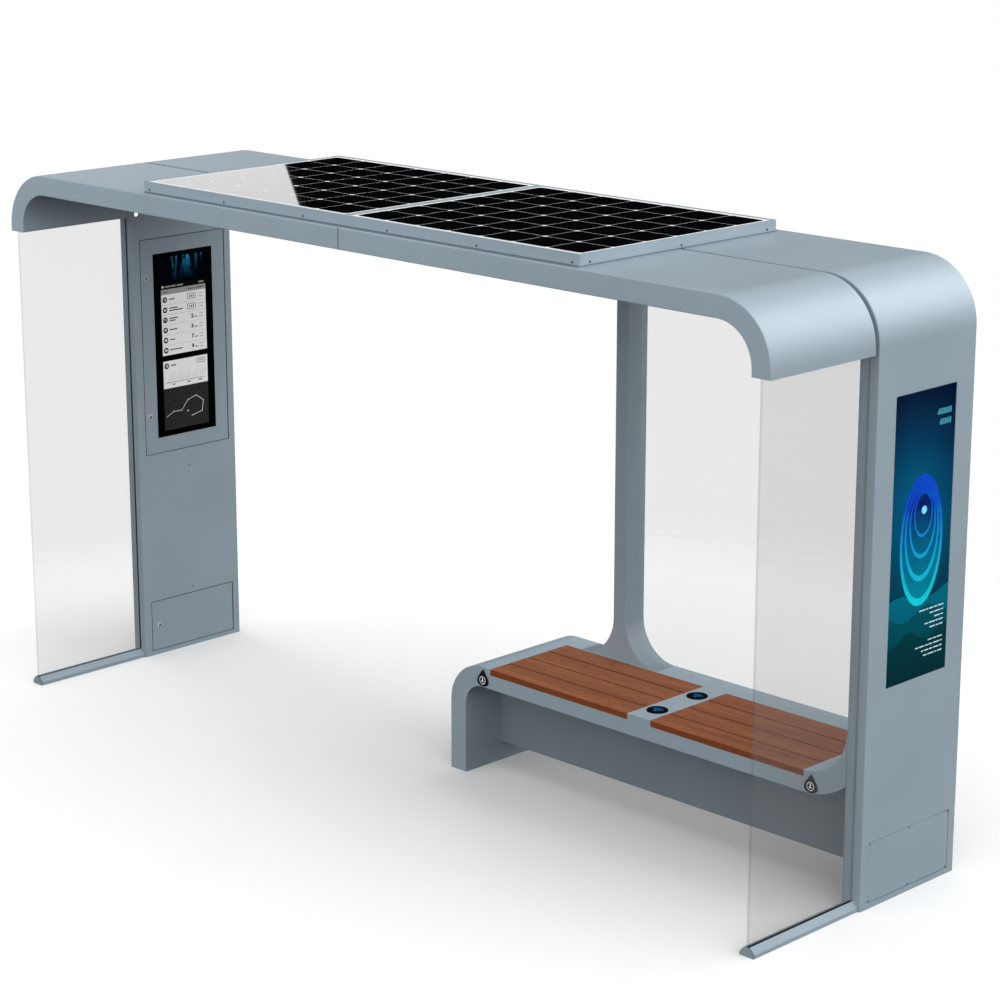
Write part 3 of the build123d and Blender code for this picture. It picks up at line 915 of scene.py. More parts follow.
def slab(name: str, node: str, finish: Finish, sunk: float, body: Body = Body.SHELTER) -> Vector:
    """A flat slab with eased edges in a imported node's place, a little behind its face.

    Args:
        name: The piece's name.
        node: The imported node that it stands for.
        finish: What it is made of.
        sunk: How far its outer face lies behind the node's.
        body: The body it rides on.

    Returns:
        The lower left corner of its outer face.
    """
    box, form = Bounds.of(node), Form()
    form.block(box.low, (box.high.x - sunk, box.high.y, box.high.z))
    form.soften(form.folded(), EASED, 2)
    form.piece(name, finish, [node], body)
    return Vector((box.high.x - sunk, box.low.y, box.low.z))


# ---- roof
@dataclass
class Roof:
    """Two folded bands, each in two halves, with an open groove between them."""

    band: float = 0.080
    shoulder: float = 0.225
    steps: int = 28
    seam: float = 0.0018
    seam_edge: float = 0.0006
    sunk: float = 0.0005
    lining: Pair = (0.0006, 0.0166)
    free: float = 0.0002
    lens: float = 0.0092
    lens_deep: float = 0.0012
    lens_edge: float = 0.0004
    lens_at: Pair = (0.0355, 1.9505)

    def strip(self, low: Pair, high: Pair, start: float, drop: Pair, radius: float = 0.0) -> Form:
        """A strip that runs to the right, round the shoulder and down.

        Args:
            low: Lowest corner of its section, in Y and Z.
            high: Highest corner of its section.
            start: Where it starts, in X.
            drop: Where its straight part ends, in X, and how low it comes, in Z.
            radius: Radius of its section's corners.

        Returns:
            Its mesh.
        """
        form = Form()
        corners = [low, (high[0], low[1]), high, (low[0], high[1])]
        tips = [form.outline(corners, Axis.X, start, [radius] * 4, FOLD_STEPS)]
        if drop[0] > start + TOUCH:
            tips = form.pull(tips, (drop[0] - start, 0, 0))
        centre = Bounds.of("roof_front_left").high.z - self.shoulder
        tips = form.bend(tips, (drop[0], 0, centre), QUARTER, self.steps)
        form.pull(tips, (0, 0, drop[1] - centre))
        form.outward()
        return form

    def half(self, band: str, side: Side) -> None:
        """One half of a band; the front one's end hangs free and is eased too.

        Args:
            band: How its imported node's name starts.
            side: Which end of the shelter it is.
        """
        node = f"{band}_{side.word}"
        box = Bounds.of(node)
        straight = max(-box.low.x, box.high.x) - self.shoulder
        form = self.strip((box.low.y, box.high.z - self.band), (box.high.y, box.high.z), self.seam,
                          (straight, box.low.z), FOLD)
        form.soften(form.rim(Axis.X, self.seam, MERGE), self.seam_edge, 2)
        if band == "roof_front":
            form.soften(form.rim(Axis.Z, box.low.z, MERGE), self.seam_edge, 2)
        if side is Side.LEFT:
            form.flip()
        form.piece(f"{node}_shell", PAINT, [node])

    def line(self, side: Side) -> None:
        """The strip that closes the groove on the inner side of a shoulder.

        Args:
            side: Which end of the shelter it is.
        """
        box, groove = Bounds.of(f"roof_front_{side.word}"), Bounds.of("roof_joint_strip")
        under = box.high.z - self.band
        form = self.strip((groove.low.y + self.free, under + self.lining[0]),
                          (groove.high.y - self.free, under + self.lining[1]), groove.high.x,
                          (groove.high.x, box.low.z))
        if side is Side.LEFT:
            form.flip()
        form.piece(f"roof_lining_{side.word}", PAINT)

    def build(self) -> None:
        """Builds both bands with a dark seal between their halves, the linings and the lamp."""
        for side in Side:
            self.half("roof_front", side)
            self.half("roof_rear", side)
            self.line(side)
        # Painted shade: the strip at the bottom of the groove gets the darker paint.
        dress(SHADE_PAINT, "roof_joint_strip")
        lamp, seal = Form(), Form()
        inner = self.band + Bounds.of("roof_rear_left").low.x - self.sunk
        lens = lamp.stud((inner, *self.lens_at), (1, 0, 0), self.lens, self.lens_deep)
        lamp.soften(lens.edges, self.lens_edge, 2)
        lamp.piece("roof_lamp", LENS)
        for box in map(Bounds.of, ("roof_front_left", "roof_rear_left")):
            seal.block((-self.seam, box.low.y + self.sunk, box.high.z - self.band + self.sunk),
                       (self.seam, box.high.y - self.sunk, box.high.z - self.sunk))
        seal.piece("roof_seal", GROOVE)


# ---- side screens
@dataclass
class SideScreen:
    """Laminated pane between floor rail, tower and roof, with its rail and rubber seals."""

    side: Side
    edge: float = 0.0010
    lap: float = 0.0006
    notch: float = 0.015
    rail_height: float = 0.035
    rail_side: float = 0.014
    rail_top: float = 0.022
    rail_slot: float = 0.018
    rail_edge: float = 0.00075
    cap: float = 0.0045
    cap_corner: float = 0.0015
    slot_depth: float = 0.020
    seal: float = 0.0009
    seal_low: float = 0.0045
    seal_up: Pair = (0.001, 0.01)
    seal_ends: Pair = (0.004, 0.022)
    strip_gap: float = 0.0008

    @property
    def box(self) -> Bounds:
        """The pane's box."""
        return Bounds.of(f"side_glass_{self.side.word}")

    @property
    def tower(self) -> float:
        """Where the tower starts, in Y."""
        return Bounds.of(f"tower_{self.side.word}_outer_skin").low.y

    @property
    def drop(self) -> float:
        """How low the roof's end comes, in Z."""
        return Bounds.of(f"roof_front_{self.side.word}").low.z

    def pane(self) -> None:
        """The pane, its polished edges in a finish of their own."""
        form, box, drop = Form(), self.box, self.drop
        lap, notch = self.tower + self.lap, self.tower - self.notch
        face = form.outline([(box.low.y, box.low.z), (lap, box.low.z), (lap, drop), (notch, drop),
                             (notch, box.high.z), (box.low.y, box.high.z)], Axis.X, box.low.x)
        form.solid(face, (box.size.x, 0, 0))
        form.soften(form.folded(), self.edge, 1)
        word = self.side.word
        pane = form.piece(f"side_pane_{word}", GLASS, [f"side_glass_{word}"]).data
        pane.materials.append(GLASS_EDGE.material)
        for face in pane.polygons:
            face.material_index = int(abs(face.normal.x) < 0.95)

    def rail(self) -> None:
        """The chamfered rail on the ground, with a slot along its top and a closed front end."""
        node = f"floor_rail_{self.side.word}"
        box, form, high, deep = Bounds.of(node), Form(), self.rail_height, self.slot_depth
        middle, slot, top = box.centre.x, self.rail_slot / 2, self.rail_top / 2
        right = [(box.low.x, 0), (box.high.x, 0), (box.high.x, self.rail_side),
                 (middle + top, high)]
        left = [(middle - top, high), (box.low.x, self.rail_side)]
        groove = [(middle + slot, high), (middle + slot, high - deep),
                  (middle - slot, high - deep), (middle - slot, high)]
        face = form.outline(right + groove + left, Axis.Y, box.low.y + self.cap)
        form.solid(face, (0, box.size.y - self.cap, 0))
        form.soften(form.rim(Axis.Z, high), self.rail_edge, 2)
        face = form.outline(right + left, Axis.Y, box.low.y, [self.cap_corner] * 6, 2)
        form.solid(face, (0, self.cap, 0))
        form.piece(f"{node}_shell", PAINT, [node], slot=Slot.RAIL)

    def seals(self) -> None:
        """Strips beside the pane low in the rail and in the roof's end, and one in the tower."""
        dark, strip, rail, box = Form(), Form(), self.rail_height, self.box
        runs = (((self.rail_slot - box.size.x) / 2, (box.low.y, self.tower),
                 (rail - self.slot_depth, rail - self.seal_low)),
                (self.seal, (box.low.y + self.seal_ends[0], self.tower - self.seal_ends[1]),
                 (self.drop + self.seal_up[0], self.drop + self.seal_up[1])))
        for wide, (front, rear), (low, high) in runs:
            for x in (box.low.x - wide, box.high.x):
                dark.block((x, front, low), (x + wide, rear, high))
        dark.piece(f"pane_seal_{self.side.word}", GROOVE)
        strip.block((box.low.x - self.seal, self.tower + self.strip_gap, rail),
                    (box.high.x + self.seal, box.high.y, self.drop))
        strip.piece(f"tower_seal_{self.side.word}", GROOVE if self.side is Side.LEFT else PAINT,
                    slot=Slot.HOUSING)

    def build(self) -> None:
        """Builds the pane, its rail and its seals."""
        self.pane()
        self.rail()
        self.seals()


# ---- towers
@dataclass
class Tower:
    """Slim tower of two folded skins on a frame; its openings come from what fills them."""

    side: Side
    sheet: float = 0.003
    seam: float = 0.0003
    glass_slot: float = 0.012
    hinge_gap: float = 0.0

    def skin(self, part: str, openings: dict[str, float]) -> None:
        """One folded skin.

        Args:
            part: outer or inner.
            openings: The nodes that fill its openings, and the gap round each.
        """
        node = f"tower_{self.side.word}_{part}_skin"
        box, form = Bounds.of(node), Form()
        out = self.side.value if part == "outer" else -self.side.value
        face_x, back_x = (box.high.x, box.low.x)[::out]
        path = [(back_x + out * self.glass_slot / 2, box.low.y), (face_x, box.low.y),
                (face_x, box.high.y), (back_x + out * self.seam, box.high.y)]
        verts = [form.bm.verts.new((x, y, 0)) for x, y in path]
        for pair in zip(verts, verts[1:]):
            form.bm.edges.new(pair)
        bmesh.ops.bevel(form.bm, geom=verts[1:3], offset=FOLD, offset_type="OFFSET",
                        segments=FOLD_STEPS, profile=0.5, affect="VERTICES", material=-1)
        grown = bmesh.ops.extrude_edge_only(form.bm, edges=form.bm.edges[:])["geom"]
        bmesh.ops.translate(form.bm, vec=Vector((0, 0, box.high.z)), verts=only(Vert, grown))
        form.outward()
        if max(form.bm.faces, key=lambda f: f.calc_area()).normal.x * out < 0:
            bmesh.ops.reverse_faces(form.bm, faces=form.bm.faces[:])
        for filler, gap in openings.items():
            self.window(form, out, Bounds.of(filler), gap)
        bmesh.ops.dissolve_limit(form.bm, angle_limit=math.radians(1), verts=form.bm.verts[:],
                                 edges=form.bm.edges[:], delimit=set())
        piece = form.piece(f"{node}_sheet", PAINT, [node])
        wall = piece.modifiers.new("sheet", "SOLIDIFY")
        wall.thickness, wall.offset, wall.use_even_offset = self.sheet, -1.0, True
        piece.modifiers.move(1, 0)

    def window(self, form: Form, out: int, box: Bounds, gap: float) -> None:
        """Cuts a rectangular window round what fills it.

        Args:
            form: The skin's mesh.
            out: Sign of X in which its broad face looks.
            box: The box of what fills the window.
            gap: The gap round it; at a hinge it is wider.
        """
        low = box.low - Vector((0, gap, gap))
        high = box.high + Vector((0, gap + self.hinge_gap, gap))
        for axis in (Axis.Y, Axis.Z):
            for at in (low[axis.value], high[axis.value]):
                form.cut(axis, at, form.facing(Axis.X, out))
        middles = [(face, face.calc_center_median()) for face in form.facing(Axis.X, out)]
        gone = [face for face, at in middles if low.y < at.y < high.y and low.z < at.z < high.z]
        bmesh.ops.delete(form.bm, geom=gone, context="FACES")


@dataclass
class LeftTower(Tower):
    """Left tower, with the timetable door and the service hatch on its inner side."""

    side: Side = Side.LEFT
    hinge_gap: float = 0.0020
    door_gap: float = 0.0030
    lip_width: float = 0.0025
    lip_sunk: float = 0.0004
    head: float = 0.012
    head_deep: float = 0.0025
    head_tip: float = 0.84
    barrel: float = 0.0085
    barrel_deep: float = 0.022
    ring: float = 0.0032
    ring_deep: float = 0.0014
    plug: float = 0.0026
    key: float = 0.0005
    free: float = 0.0001
    small: float = 0.0020
    large: float = 0.0032
    corner_in: float = 0.0135
    front_out: float = 0.005
    rear_out: float = 0.0105
    end_in: float = 0.045
    end_out: float = 0.009
    apart: float = 0.0805
    above: float = 0.030
    aside: float = 0.003

    def lip(self, node: str, body: Body) -> None:
        """Dark sealing lip round a door's free edges.

        Args:
            node: The door.
            body: The body it rides on.
        """
        box, form, wide = Bounds.of(node), Form(), self.lip_width
        (_, y0, z0), (_, y1, z1), face = box.low, box.high, box.high.x - self.lip_sunk
        for low, high in (((y0 - wide, z0 - wide), (y0, z1 + wide)), ((y0, z1), (y1, z1 + wide)),
                          ((y0, z0 - wide), (y1, z0))):
            form.block((face - self.sheet / 2, *low), (face, *high))
        form.piece(f"{node}_lip", GROOVE, body=body)

    def locks(self, name: str, node: str, body: Body, count: int) -> None:
        """Cam locks with a round head and a keyhole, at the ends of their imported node.

        Args:
            name: The piece's name.
            node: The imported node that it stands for.
            body: The body it rides on.
            count: Number of locks.
        """
        box, head, key = Bounds.of(node), Form(), Form()
        face, y, half = box.high.x - self.head_deep, box.low.y + self.head, self.barrel
        floor = box.high.x - self.ring_deep
        for z in (box.low.z + self.head, box.high.z - self.head)[:count]:
            rim = head.stud((face, y, z), (1, 0, 0), self.head, self.head_deep, self.head_tip, 40)
            head.dish(rim, self.ring, self.ring_deep)
            head.stud((floor, y, z), (1, 0, 0), self.plug, self.ring_deep * 0.8)
            head.stud((face, y, z), (-1, 0, 0), half, self.barrel_deep)
            head.block((box.low.x, y - half, z - half),
                       (box.low.x + self.sheet, y + 1.5 * self.head, z + half))
            key.stud((floor - self.free, y, z), (1, 0, 0),
                     self.head * self.head_tip - self.ring - 2 * self.free, 3 * self.free)
            key.block((box.high.x - 6 * self.free, y - self.key, z - self.plug * 0.7),
                      (box.high.x - self.free, y + self.key, z + self.plug * 0.7))
        head.piece(name, SATIN_NICKEL, [node], body)
        key.piece(f"{name}_keyhole", RUBBER, body=body)

    def screws(self) -> None:
        """Small screws in the sheet round the display door and two large ones below it."""
        door, hatch, form = Bounds.of("display_door"), Bounds.of("service_hatch"), Form()
        ends = (door.low.y - self.front_out, door.high.y + self.rear_out)
        small = [(y, z) for y in ends for z in (door.low.z + self.corner_in, door.centre.z,
                                                door.high.z - self.corner_in)]
        small += [(y, door.low.z - self.end_out)
                  for y in (door.low.y + self.end_in, door.high.y - self.end_in)]
        for y, z in small:
            form.screw((door.high.x, y, z), (1, 0, 0), self.small)
        for z in (door.low.z - self.apart, hatch.high.z + self.above):
            form.screw((door.high.x, door.centre.y + self.aside, z), (1, 0, 0), self.large)
        form.piece("tower_left_screws", DARK_STEEL)

    def build(self) -> None:
        """Builds the tower, its doors, locks and screws."""
        self.skin("outer", {})
        self.skin("inner", {"display_door": self.door_gap, "service_hatch": self.door_gap})
        dress(PAINT, "tower_left_frame", "display_door", "service_hatch")
        dress(ZINC, "tower_left_hinges")
        dress(BLACK_STEEL, "display_housing")
        Timetable().build()
        self.lip("display_door", Body.DOOR)
        self.lip("service_hatch", Body.HATCH)
        self.screws()
        self.locks("door_lock_heads", "display_door_locks", Body.DOOR, 2)
        self.locks("hatch_lock_head", "service_hatch_lock", Body.HATCH, 1)


@dataclass
class Timetable:
    """The door's screen: a picture, a list with plain numbers, a fan of strokes and a plan."""

    left: float = 0.039
    wide: float = 0.242
    picture: Pair = (0.674, 0.779)
    header: Pair = (0.641, 0.663)
    caption: float = 0.618
    rows_foot: float = 0.354
    panel: Pair = (0.209, 0.329)
    plan: float = 0.025
    badge: float = 0.0125
    badge_in: float = 0.019
    name_in: float = 0.042
    outline: float = 0.0021
    stroke: float = 0.0012
    strokes: int = 17
    rows: tuple[tuple[str, str, tuple[float, ...]], ...] = (
        ("12", "", (0.030,)), ("24", "", (0.045, 0.074)), ("31", "2", (0.046, 0.032)),
        ("47", "5", (0.040,)), ("58", "7", (0.028,)), ("60", "9", (0.066,)))
    header_marks: tuple[Pair, ...] = (
        (0.022, 0.030), (0.056, 0.024), (0.086, 0.034), (0.206, 0.026))
    caption_marks: tuple[Pair, ...] = ((0.008, 0.024), (0.145, 0.036), (0.192, 0.034))
    foot_marks: tuple[Pair, ...] = ((0.050, 0.012), (0.130, 0.016), (0.192, 0.020))
    stops: tuple[Pair, ...] = (
        (0.012, 0.060), (0.050, 0.078), (0.094, 0.078), (0.128, 0.118), (0.176, 0.132),
        (0.214, 0.104), (0.206, 0.058), (0.150, 0.046))

    def build(self) -> None:
        """Builds the screen's glass and all its marks."""
        corner = slab("timetable_glass", "display_glass", BLACK_GLASS, 0.0008, Body.DOOR)
        corner.y += self.left
        finishes = {"white": SCREEN_WHITE, "black": INK, "grey": SCREEN_GREY, "picture": NIGHT,
                    "plan": PLAN_GROUND, "route": SCREEN_WHITE}
        prints = {kind: Print(corner) for kind in finishes}
        self.white, self.black, self.grey, picture, ground, route = prints.values()
        picture.bar((0, self.picture[0]), (self.wide, self.picture[1]))
        self.list()
        self.fan()
        ground.bar((0, self.plan), (self.wide, self.panel[0]))
        places = [(u, self.plan + v) for u, v in self.stops]
        for start, end in zip(places, places[1:]):
            route.line(start, end, 0.0020)
            route.disc(end, 0.0022, 2)
        route.disc((0.128, self.plan + 0.070), 0.0035, 2)
        for kind, finish in finishes.items():
            prints[kind].piece(f"timetable_{kind}", finish, Body.DOOR)

    def line(self, number: str, middle: float) -> None:
        """A round badge with a line's number."""
        self.black.disc((self.badge_in, middle), self.badge, 2)
        self.white.number(number, (self.badge_in, middle), 0.010, 3)

    def boxed(self, low: Pair, high: Pair) -> None:
        """A rounded outline with three short bars in it.

        Args:
            low: Its lower left corner.
            high: Its upper right corner.
        """
        line, middle = self.outline, (low[0] + high[0]) / 2
        self.black.tile(low, high, 2, 0.004)
        self.white.tile((low[0] + line, low[1] + line), (high[0] - line, high[1] - line), 3, 0.003)
        self.black.row(low[1] + 0.007, high[1] - 0.007,
                       [(middle + shift, 0.005) for shift in (-0.012, -0.002, 0.008)], 4)

    def list(self) -> None:
        """The header and six rows."""
        white, black, grey, (low, high) = self.white, self.black, self.grey, self.header
        black.bar((0, low), (self.wide, high))
        white.disc((0.010, (low + high) / 2), 0.005, 2)
        grey.row(low + 0.008, high - 0.008, self.header_marks)
        grey.bar((0, self.caption), (self.wide, low))
        black.row(self.caption + 0.0095, low - 0.0105, self.caption_marks)
        white.bar((0, self.rows_foot), (self.wide, self.caption))
        pitch = (self.caption - self.rows_foot) / len(self.rows)
        for row, (number, wait, names) in enumerate(self.rows):
            middle = self.caption - (row + 0.5) * pitch
            if row:
                edge = middle + pitch / 2
                grey.bar((0, edge - 0.0005), (self.wide, edge + 0.0005), 2)
            self.line(number, middle)
            for step, length in enumerate(names):
                at = middle - 0.002 + (len(names) - 1) * 0.005 - step * 0.010
                black.row(at, at + 0.0045, [(self.name_in, length)])
            if wait:
                black.number(wait, (0.166, middle), 0.017, 2)
                black.row(middle - 0.006, middle - 0.002, [(0.177, 0.017)])
            else:
                self.boxed((0.141, middle - 0.012), (0.187, middle + 0.012))
            for at in (middle + 0.005, middle - 0.008):
                grey.row(at, at + 0.003, [(0.202, 0.022)])

    def fan(self) -> None:
        """The lower panel: one line, a box, and slanted strokes over a base line."""
        black, (low, high) = self.black, self.panel
        base = low + 0.024
        self.white.bar((0, low), (self.wide, high))
        self.line("12", high - 0.022)
        black.row(high - 0.024, high - 0.019, [(self.name_in, 0.028)])
        self.boxed((self.wide - 0.060, high - 0.030), (self.wide - 0.012, high - 0.010))
        black.line((0.012, base), (self.wide - 0.014, base), 0.0016)
        for step in range(self.strokes):
            foot, rise = 0.026 + step * 0.0115, 0.030 + 0.012 * math.sin(step * 1.7)
            black.row(base - 0.002, base + 0.003, [(foot - self.stroke / 2, self.stroke)])
            self.grey.line((foot, base + 0.006), (foot + rise * 0.6, base + 0.006 + rise),
                           self.stroke)
        black.row(base - 0.012, base - 0.007, self.foot_marks)


@dataclass
class RightTower(Tower):
    """Right tower, with the picture display and a screwed cover on its outer side."""

    side: Side = Side.RIGHT
    fit: float = 0.0005
    cover_gap: float = 0.0015
    sunk: float = 0.0006
    screw_low: float = 0.0019
    screw_in: float = 0.0055
    screw: float = 0.0045

    def build(self) -> None:
        """Builds the tower, its picture and its cover with screws, and dresses the rest."""
        self.skin("inner", {})
        self.skin("outer", {"ad_glass": self.fit, "access_cover": self.cover_gap})
        dress(PAINT, "tower_right_frame")
        slab("cover_plate", "access_cover", PAINT, self.sunk)
        dress(BLACK_STEEL, "ad_housing")
        Poster().build()
        box, form = Bounds.of("access_cover"), Form()
        for y in (box.low.y + self.screw_in, box.centre.y, box.high.y - self.screw_in):
            for z in (box.low.z + self.screw_in, box.high.z - self.screw_in):
                form.screw((box.high.x - self.screw_low, y, z), (1, 0, 0), self.screw)
        form.piece("cover_screws", DARK_STEEL)


@dataclass
class Poster:
    """The picture display: ripples round a bright core over waves, and bars for lettering."""

    middle: Pair = (0.166, 0.486)
    radius: float = 0.118
    stretch: float = 1.95
    ring: float = 0.009
    rings: int = 4
    core: Pair = (0.010, 0.104)
    core_radius: float = 0.014
    drift: Pair = (0.008, 0.120)
    narrowed: float = 0.75
    rounded: float = 0.28
    hole: float = 0.0004
    margin: float = 0.024
    pitch: float = 0.017
    bar: Pair = (0.005, 0.0046)
    title: tuple[int, int] = (6, 5)
    title_top: float = 0.906
    title_pitch: Pair = (0.0125, 0.036)
    waves: tuple[tuple[float, float, float, float, Colour, Colour], ...] = (
        (0.29, 0.016, 1.1, 0.4, srgb(0, 92, 112), srgb(0, 66, 84)),
        (0.23, 0.020, 1.3, 2.6, srgb(0, 74, 84), srgb(0, 52, 62)),
        (0.15, 0.018, 1.6, 4.4, srgb(0, 58, 62), srgb(2, 38, 46)))
    words: tuple[float, ...] = (0.030, 0.017, 0.024, 0.011, 0.034, 0.020, 0.014)
    texts: tuple[tuple[float, tuple[int, ...]], ...] = (
        (0.236, (5, 3, 2, 4, 3)), (0.124, (3, 6, 5, 4)))

    def build(self) -> None:
        """Builds the glass and all its marks."""
        box = Bounds.of("ad_glass")
        ground = PosterGround("poster_ground", Slot.SCREEN, box.centre, box.size.z)
        corner = slab("poster_glass", "ad_glass", ground, 0.0010)
        for number, (share, crest, turns, phase, top, foot) in enumerate(self.waves, 1):
            band, name = Print(corner), f"poster_wave_{number}"
            band.wave(box.size.y, box.size.z * share, crest, turns, phase, number)
            band.piece(name, Fade(f"{name}_tint", Slot.SCREEN, foot, top, corner.z,
                                  corner.z + box.size.z * 0.3))
        self.ripples(corner)
        self.lettering(corner, box.size.y - self.margin)

    def ripples(self, corner: Vector) -> None:
        """Rings that narrow towards a bright core.

        Args:
            corner: Lower left corner of the face.
        """
        egg, rings, core = (Print(corner) for _ in range(3))
        (u, v), middle, reach = self.middle, corner.z + self.middle[1], self.radius * self.stretch
        egg.ring(self.middle, self.radius, self.radius - self.hole, 3, self.stretch)
        for number in range(self.rings):
            inner = number / self.rings
            rings.ring((u + self.drift[0] * inner, v + self.drift[1] * inner),
                       self.radius * (1 - self.narrowed * inner), self.ring * (1.5 - inner),
                       4 + number, self.stretch * (1 - self.rounded * inner))
        core.disc((u + self.core[0], v + self.core[1]), self.core_radius, 8)
        for marks, word, foot, top in ((egg, "egg", srgb(0, 122, 140), srgb(4, 22, 92)),
                                       (rings, "ring", srgb(16, 186, 198), srgb(10, 62, 176)),
                                       (core, "core", srgb(170, 240, 250), srgb(110, 200, 240))):
            marks.piece(f"poster_{word}", Fade(f"poster_{word}_tint", Slot.SCREEN, foot, top,
                                               middle - reach, middle + reach * 0.6))

    def lettering(self, corner: Vector, right: float) -> None:
        """Rows of bars in the place of lettering.

        Args:
            corner: Lower left corner of the face.
            right: Where the rows end.
        """
        pale, teal = Print(corner), Print(corner)
        for top, counts in self.texts:
            for row, count in enumerate(counts):
                end, high = right, top - row * self.pitch
                for step in range(count):
                    length = self.words[(row * 3 + step) % len(self.words)]
                    pale.bar((end - length, high - self.bar[1]), (end, high), 5)
                    end -= length + self.bar[0]
        for row, letters in enumerate(self.title):
            for step in range(letters):
                u = right - step * self.title_pitch[0]
                v = self.title_top - row * self.title_pitch[1]
                teal.bar((u - 0.009, v), (u, v + 0.020), 2)
                teal.bar((u - 0.014, v), (u - 0.007, v + 0.006 + 0.003 * ((step + row) % 3)), 2)
        pale.piece("poster_lines", POSTER_PALE)
        teal.piece("poster_title", POSTER_TEAL)


# ---- bench and rear screen
@dataclass
class Bench:
    """Folded bench: a leg that bends into the seat and sweeps up into the right tower."""

    band: float = 0.080
    bend: float = 0.170
    bend_steps: int = 24
    leg_end: float = 0.001
    sweep: float = 0.175
    sweep_under: float = 0.270
    sweep_steps: int = 20
    wood: float = 0.024
    wood_gap: float = 0.0005
    screw: float = 0.0032
    screw_at: Pair = (0.118, 0.005)
    spacer_in: float = 0.0008
    spacer_low: float = 0.0007
    rim: float = 0.0030
    rim_high: float = 0.0008
    rim_edge: float = 0.0012
    tip: float = 0.0015
    arcs: tuple[float, ...] = (0.012, 0.021, 0.030)
    arc_wide: float = 0.0028
    arc_span: Pair = (42.0, 96.0)
    arc_foot: float = -0.016
    dot: Pair = (-0.014, 0.0036)
    mark_ring: Pair = (0.0160, 0.0024)
    mark_low: float = -0.001
    mark: tuple[tuple[Pair, Pair], ...] = (
        ((-0.0020, -0.003), (0.0020, 0.010)), ((-0.0070, -0.0068), (0.0070, -0.0034)))

    def shell(self) -> None:
        """Leg, seat and sweep in one folded body, with a recess for the planks."""
        seat, tower = Bounds.of("bench_seat"), Bounds.of("bench_sweep").high.x
        left = Bounds.of("plank_left_1").low.x - self.wood_gap
        right = Bounds.of("plank_right_1").high.x + self.wood_gap
        rear, (x0, y0, _), (x1, y1, top) = Bounds.of("plank_left_4").high.y, seat.low, seat.high
        ledge, form = top - self.wood, Form()

        def recessed(at: Vector) -> bool:
            """Whether a place lies in the recess for the planks."""
            return left - TOUCH < at.x < right + TOUCH and at.y < rear and at.z > ledge - TOUCH

        form.block((x0, y0, top - self.band), (x1, y1, ledge))
        for axis, at in ((Axis.X, left), (Axis.X, right), (Axis.Y, rear)):
            form.cut(axis, at, form.facing(Axis.Z))
        form.pull([f for f in form.facing(Axis.Z) if not recessed(f.calc_center_median())],
                  (0, 0, self.wood))
        ends = [f for f in form.facing(Axis.X, -1) if f.calc_center_median().x < x0 + TOUCH]
        ends = form.bend(ends, (x0, 0, top - self.bend), -QUARTER, self.bend_steps)
        form.pull(ends, (0, 0, self.bend - top))
        self.sweep_up(form, x1, top)
        form.outward()

        def free(edge: Edge) -> bool:
            """Whether an edge is neither in the recess nor at the ground or in the tower."""
            (a, _, low), (b, _, high) = ends = [vert.co for vert in edge.verts]
            return not (recessed((ends[0] + ends[1]) / 2) or max(low, high) < TOUCH
                        or min(a, b) > tower - TOUCH)

        form.soften(filter(free, form.rim(Axis.Y, y0) + form.rim(Axis.Y, y1)), FOLD)
        shell = form.piece("bench_shell", PAINT, ["bench_leg", "bench_seat", "bench_sweep"]).data
        # Painted shade: the leg's inner upright face and every face that looks down get the darker
        # paint.
        shell.materials.append(SHADE_PAINT.material)
        for face in shell.polygons:
            (x, y, z), near = face.normal, face.center.x < x0 + self.leg_end
            face.material_index = int(near and x > 0.02 and abs(y) < 0.05 or z < -0.999)

    def sweep_up(self, form: Form, x: float, top: float) -> None:
        """Sweeps the seat's end up into the tower between two arcs of different radius.

        Args:
            form: The bench's mesh.
            x: Where the seat ends.
            top: Height of the seat.
        """
        rise = form.bm.verts.layers.float.new("rise")
        form.bm.normal_update()
        ends = [f for f in form.facing(Axis.X) if f.calc_center_median().x > x - TOUCH]
        for vert in {vert for face in ends for vert in face.verts}:
            vert[rise] = (vert.co.z - top + self.band) / self.band
        arcs = ((self.sweep_under, top - self.band, math.asin(self.sweep / self.sweep_under)),
                (self.sweep, top, QUARTER))
        for step in range(1, self.sweep_steps + 1):
            low, high = (Vector((x + radius * math.sin(turn * step / self.sweep_steps), 0, foot
                                 + radius * (1 - math.cos(turn * step / self.sweep_steps))))
                         for radius, foot, turn in arcs)
            grown = bmesh.ops.extrude_face_region(form.bm, geom=form.region(ends))["geom"]
            for vert in only(Vert, grown):
                vert.co.x, _, vert.co.z = low.lerp(high, vert[rise])
            ends = only(Face, grown)
        form.bm.verts.layers.float.remove(rise)

    def build(self) -> None:
        """Builds the bench and dresses its planks, plate and beam."""
        self.shell()
        # Painted shade: the beam under the seat gets the darker paint.
        dress(SHADE_PAINT, "bench_beam")
        dress(PAINT, "charger_plate")
        spacers, screw = Form(), Form()
        for half in ("left", "right"):
            nodes = [f"plank_{half}_{row}" for row in range(1, 5)]
            dress(WOOD, *nodes)
            planks = [Bounds.of(node) for node in nodes]
            for near, far in zip(planks, planks[1:]):
                (x0, _, low), (x1, y0, high) = near.low, near.high
                spacers.block((x0 + self.spacer_in, y0, low),
                              (x1 - self.spacer_in, far.low.y, high - self.spacer_low))
        spacers.piece("plank_spacers", GROOVE)
        self.charger("charger_front")
        self.charger("charger_rear")
        for side in Side:
            self.cover(f"socket_cover_{side.word}")
        screw.screw((Bounds.of("charger_plate").low.x - self.screw_at[0],
                     Bounds.of("back_glass").low.y - self.screw_at[1],
                     Bounds.of("bench_seat").high.z), (0, 0, 1), self.screw)
        screw.piece("bench_strip_screw", DARK_STEEL)

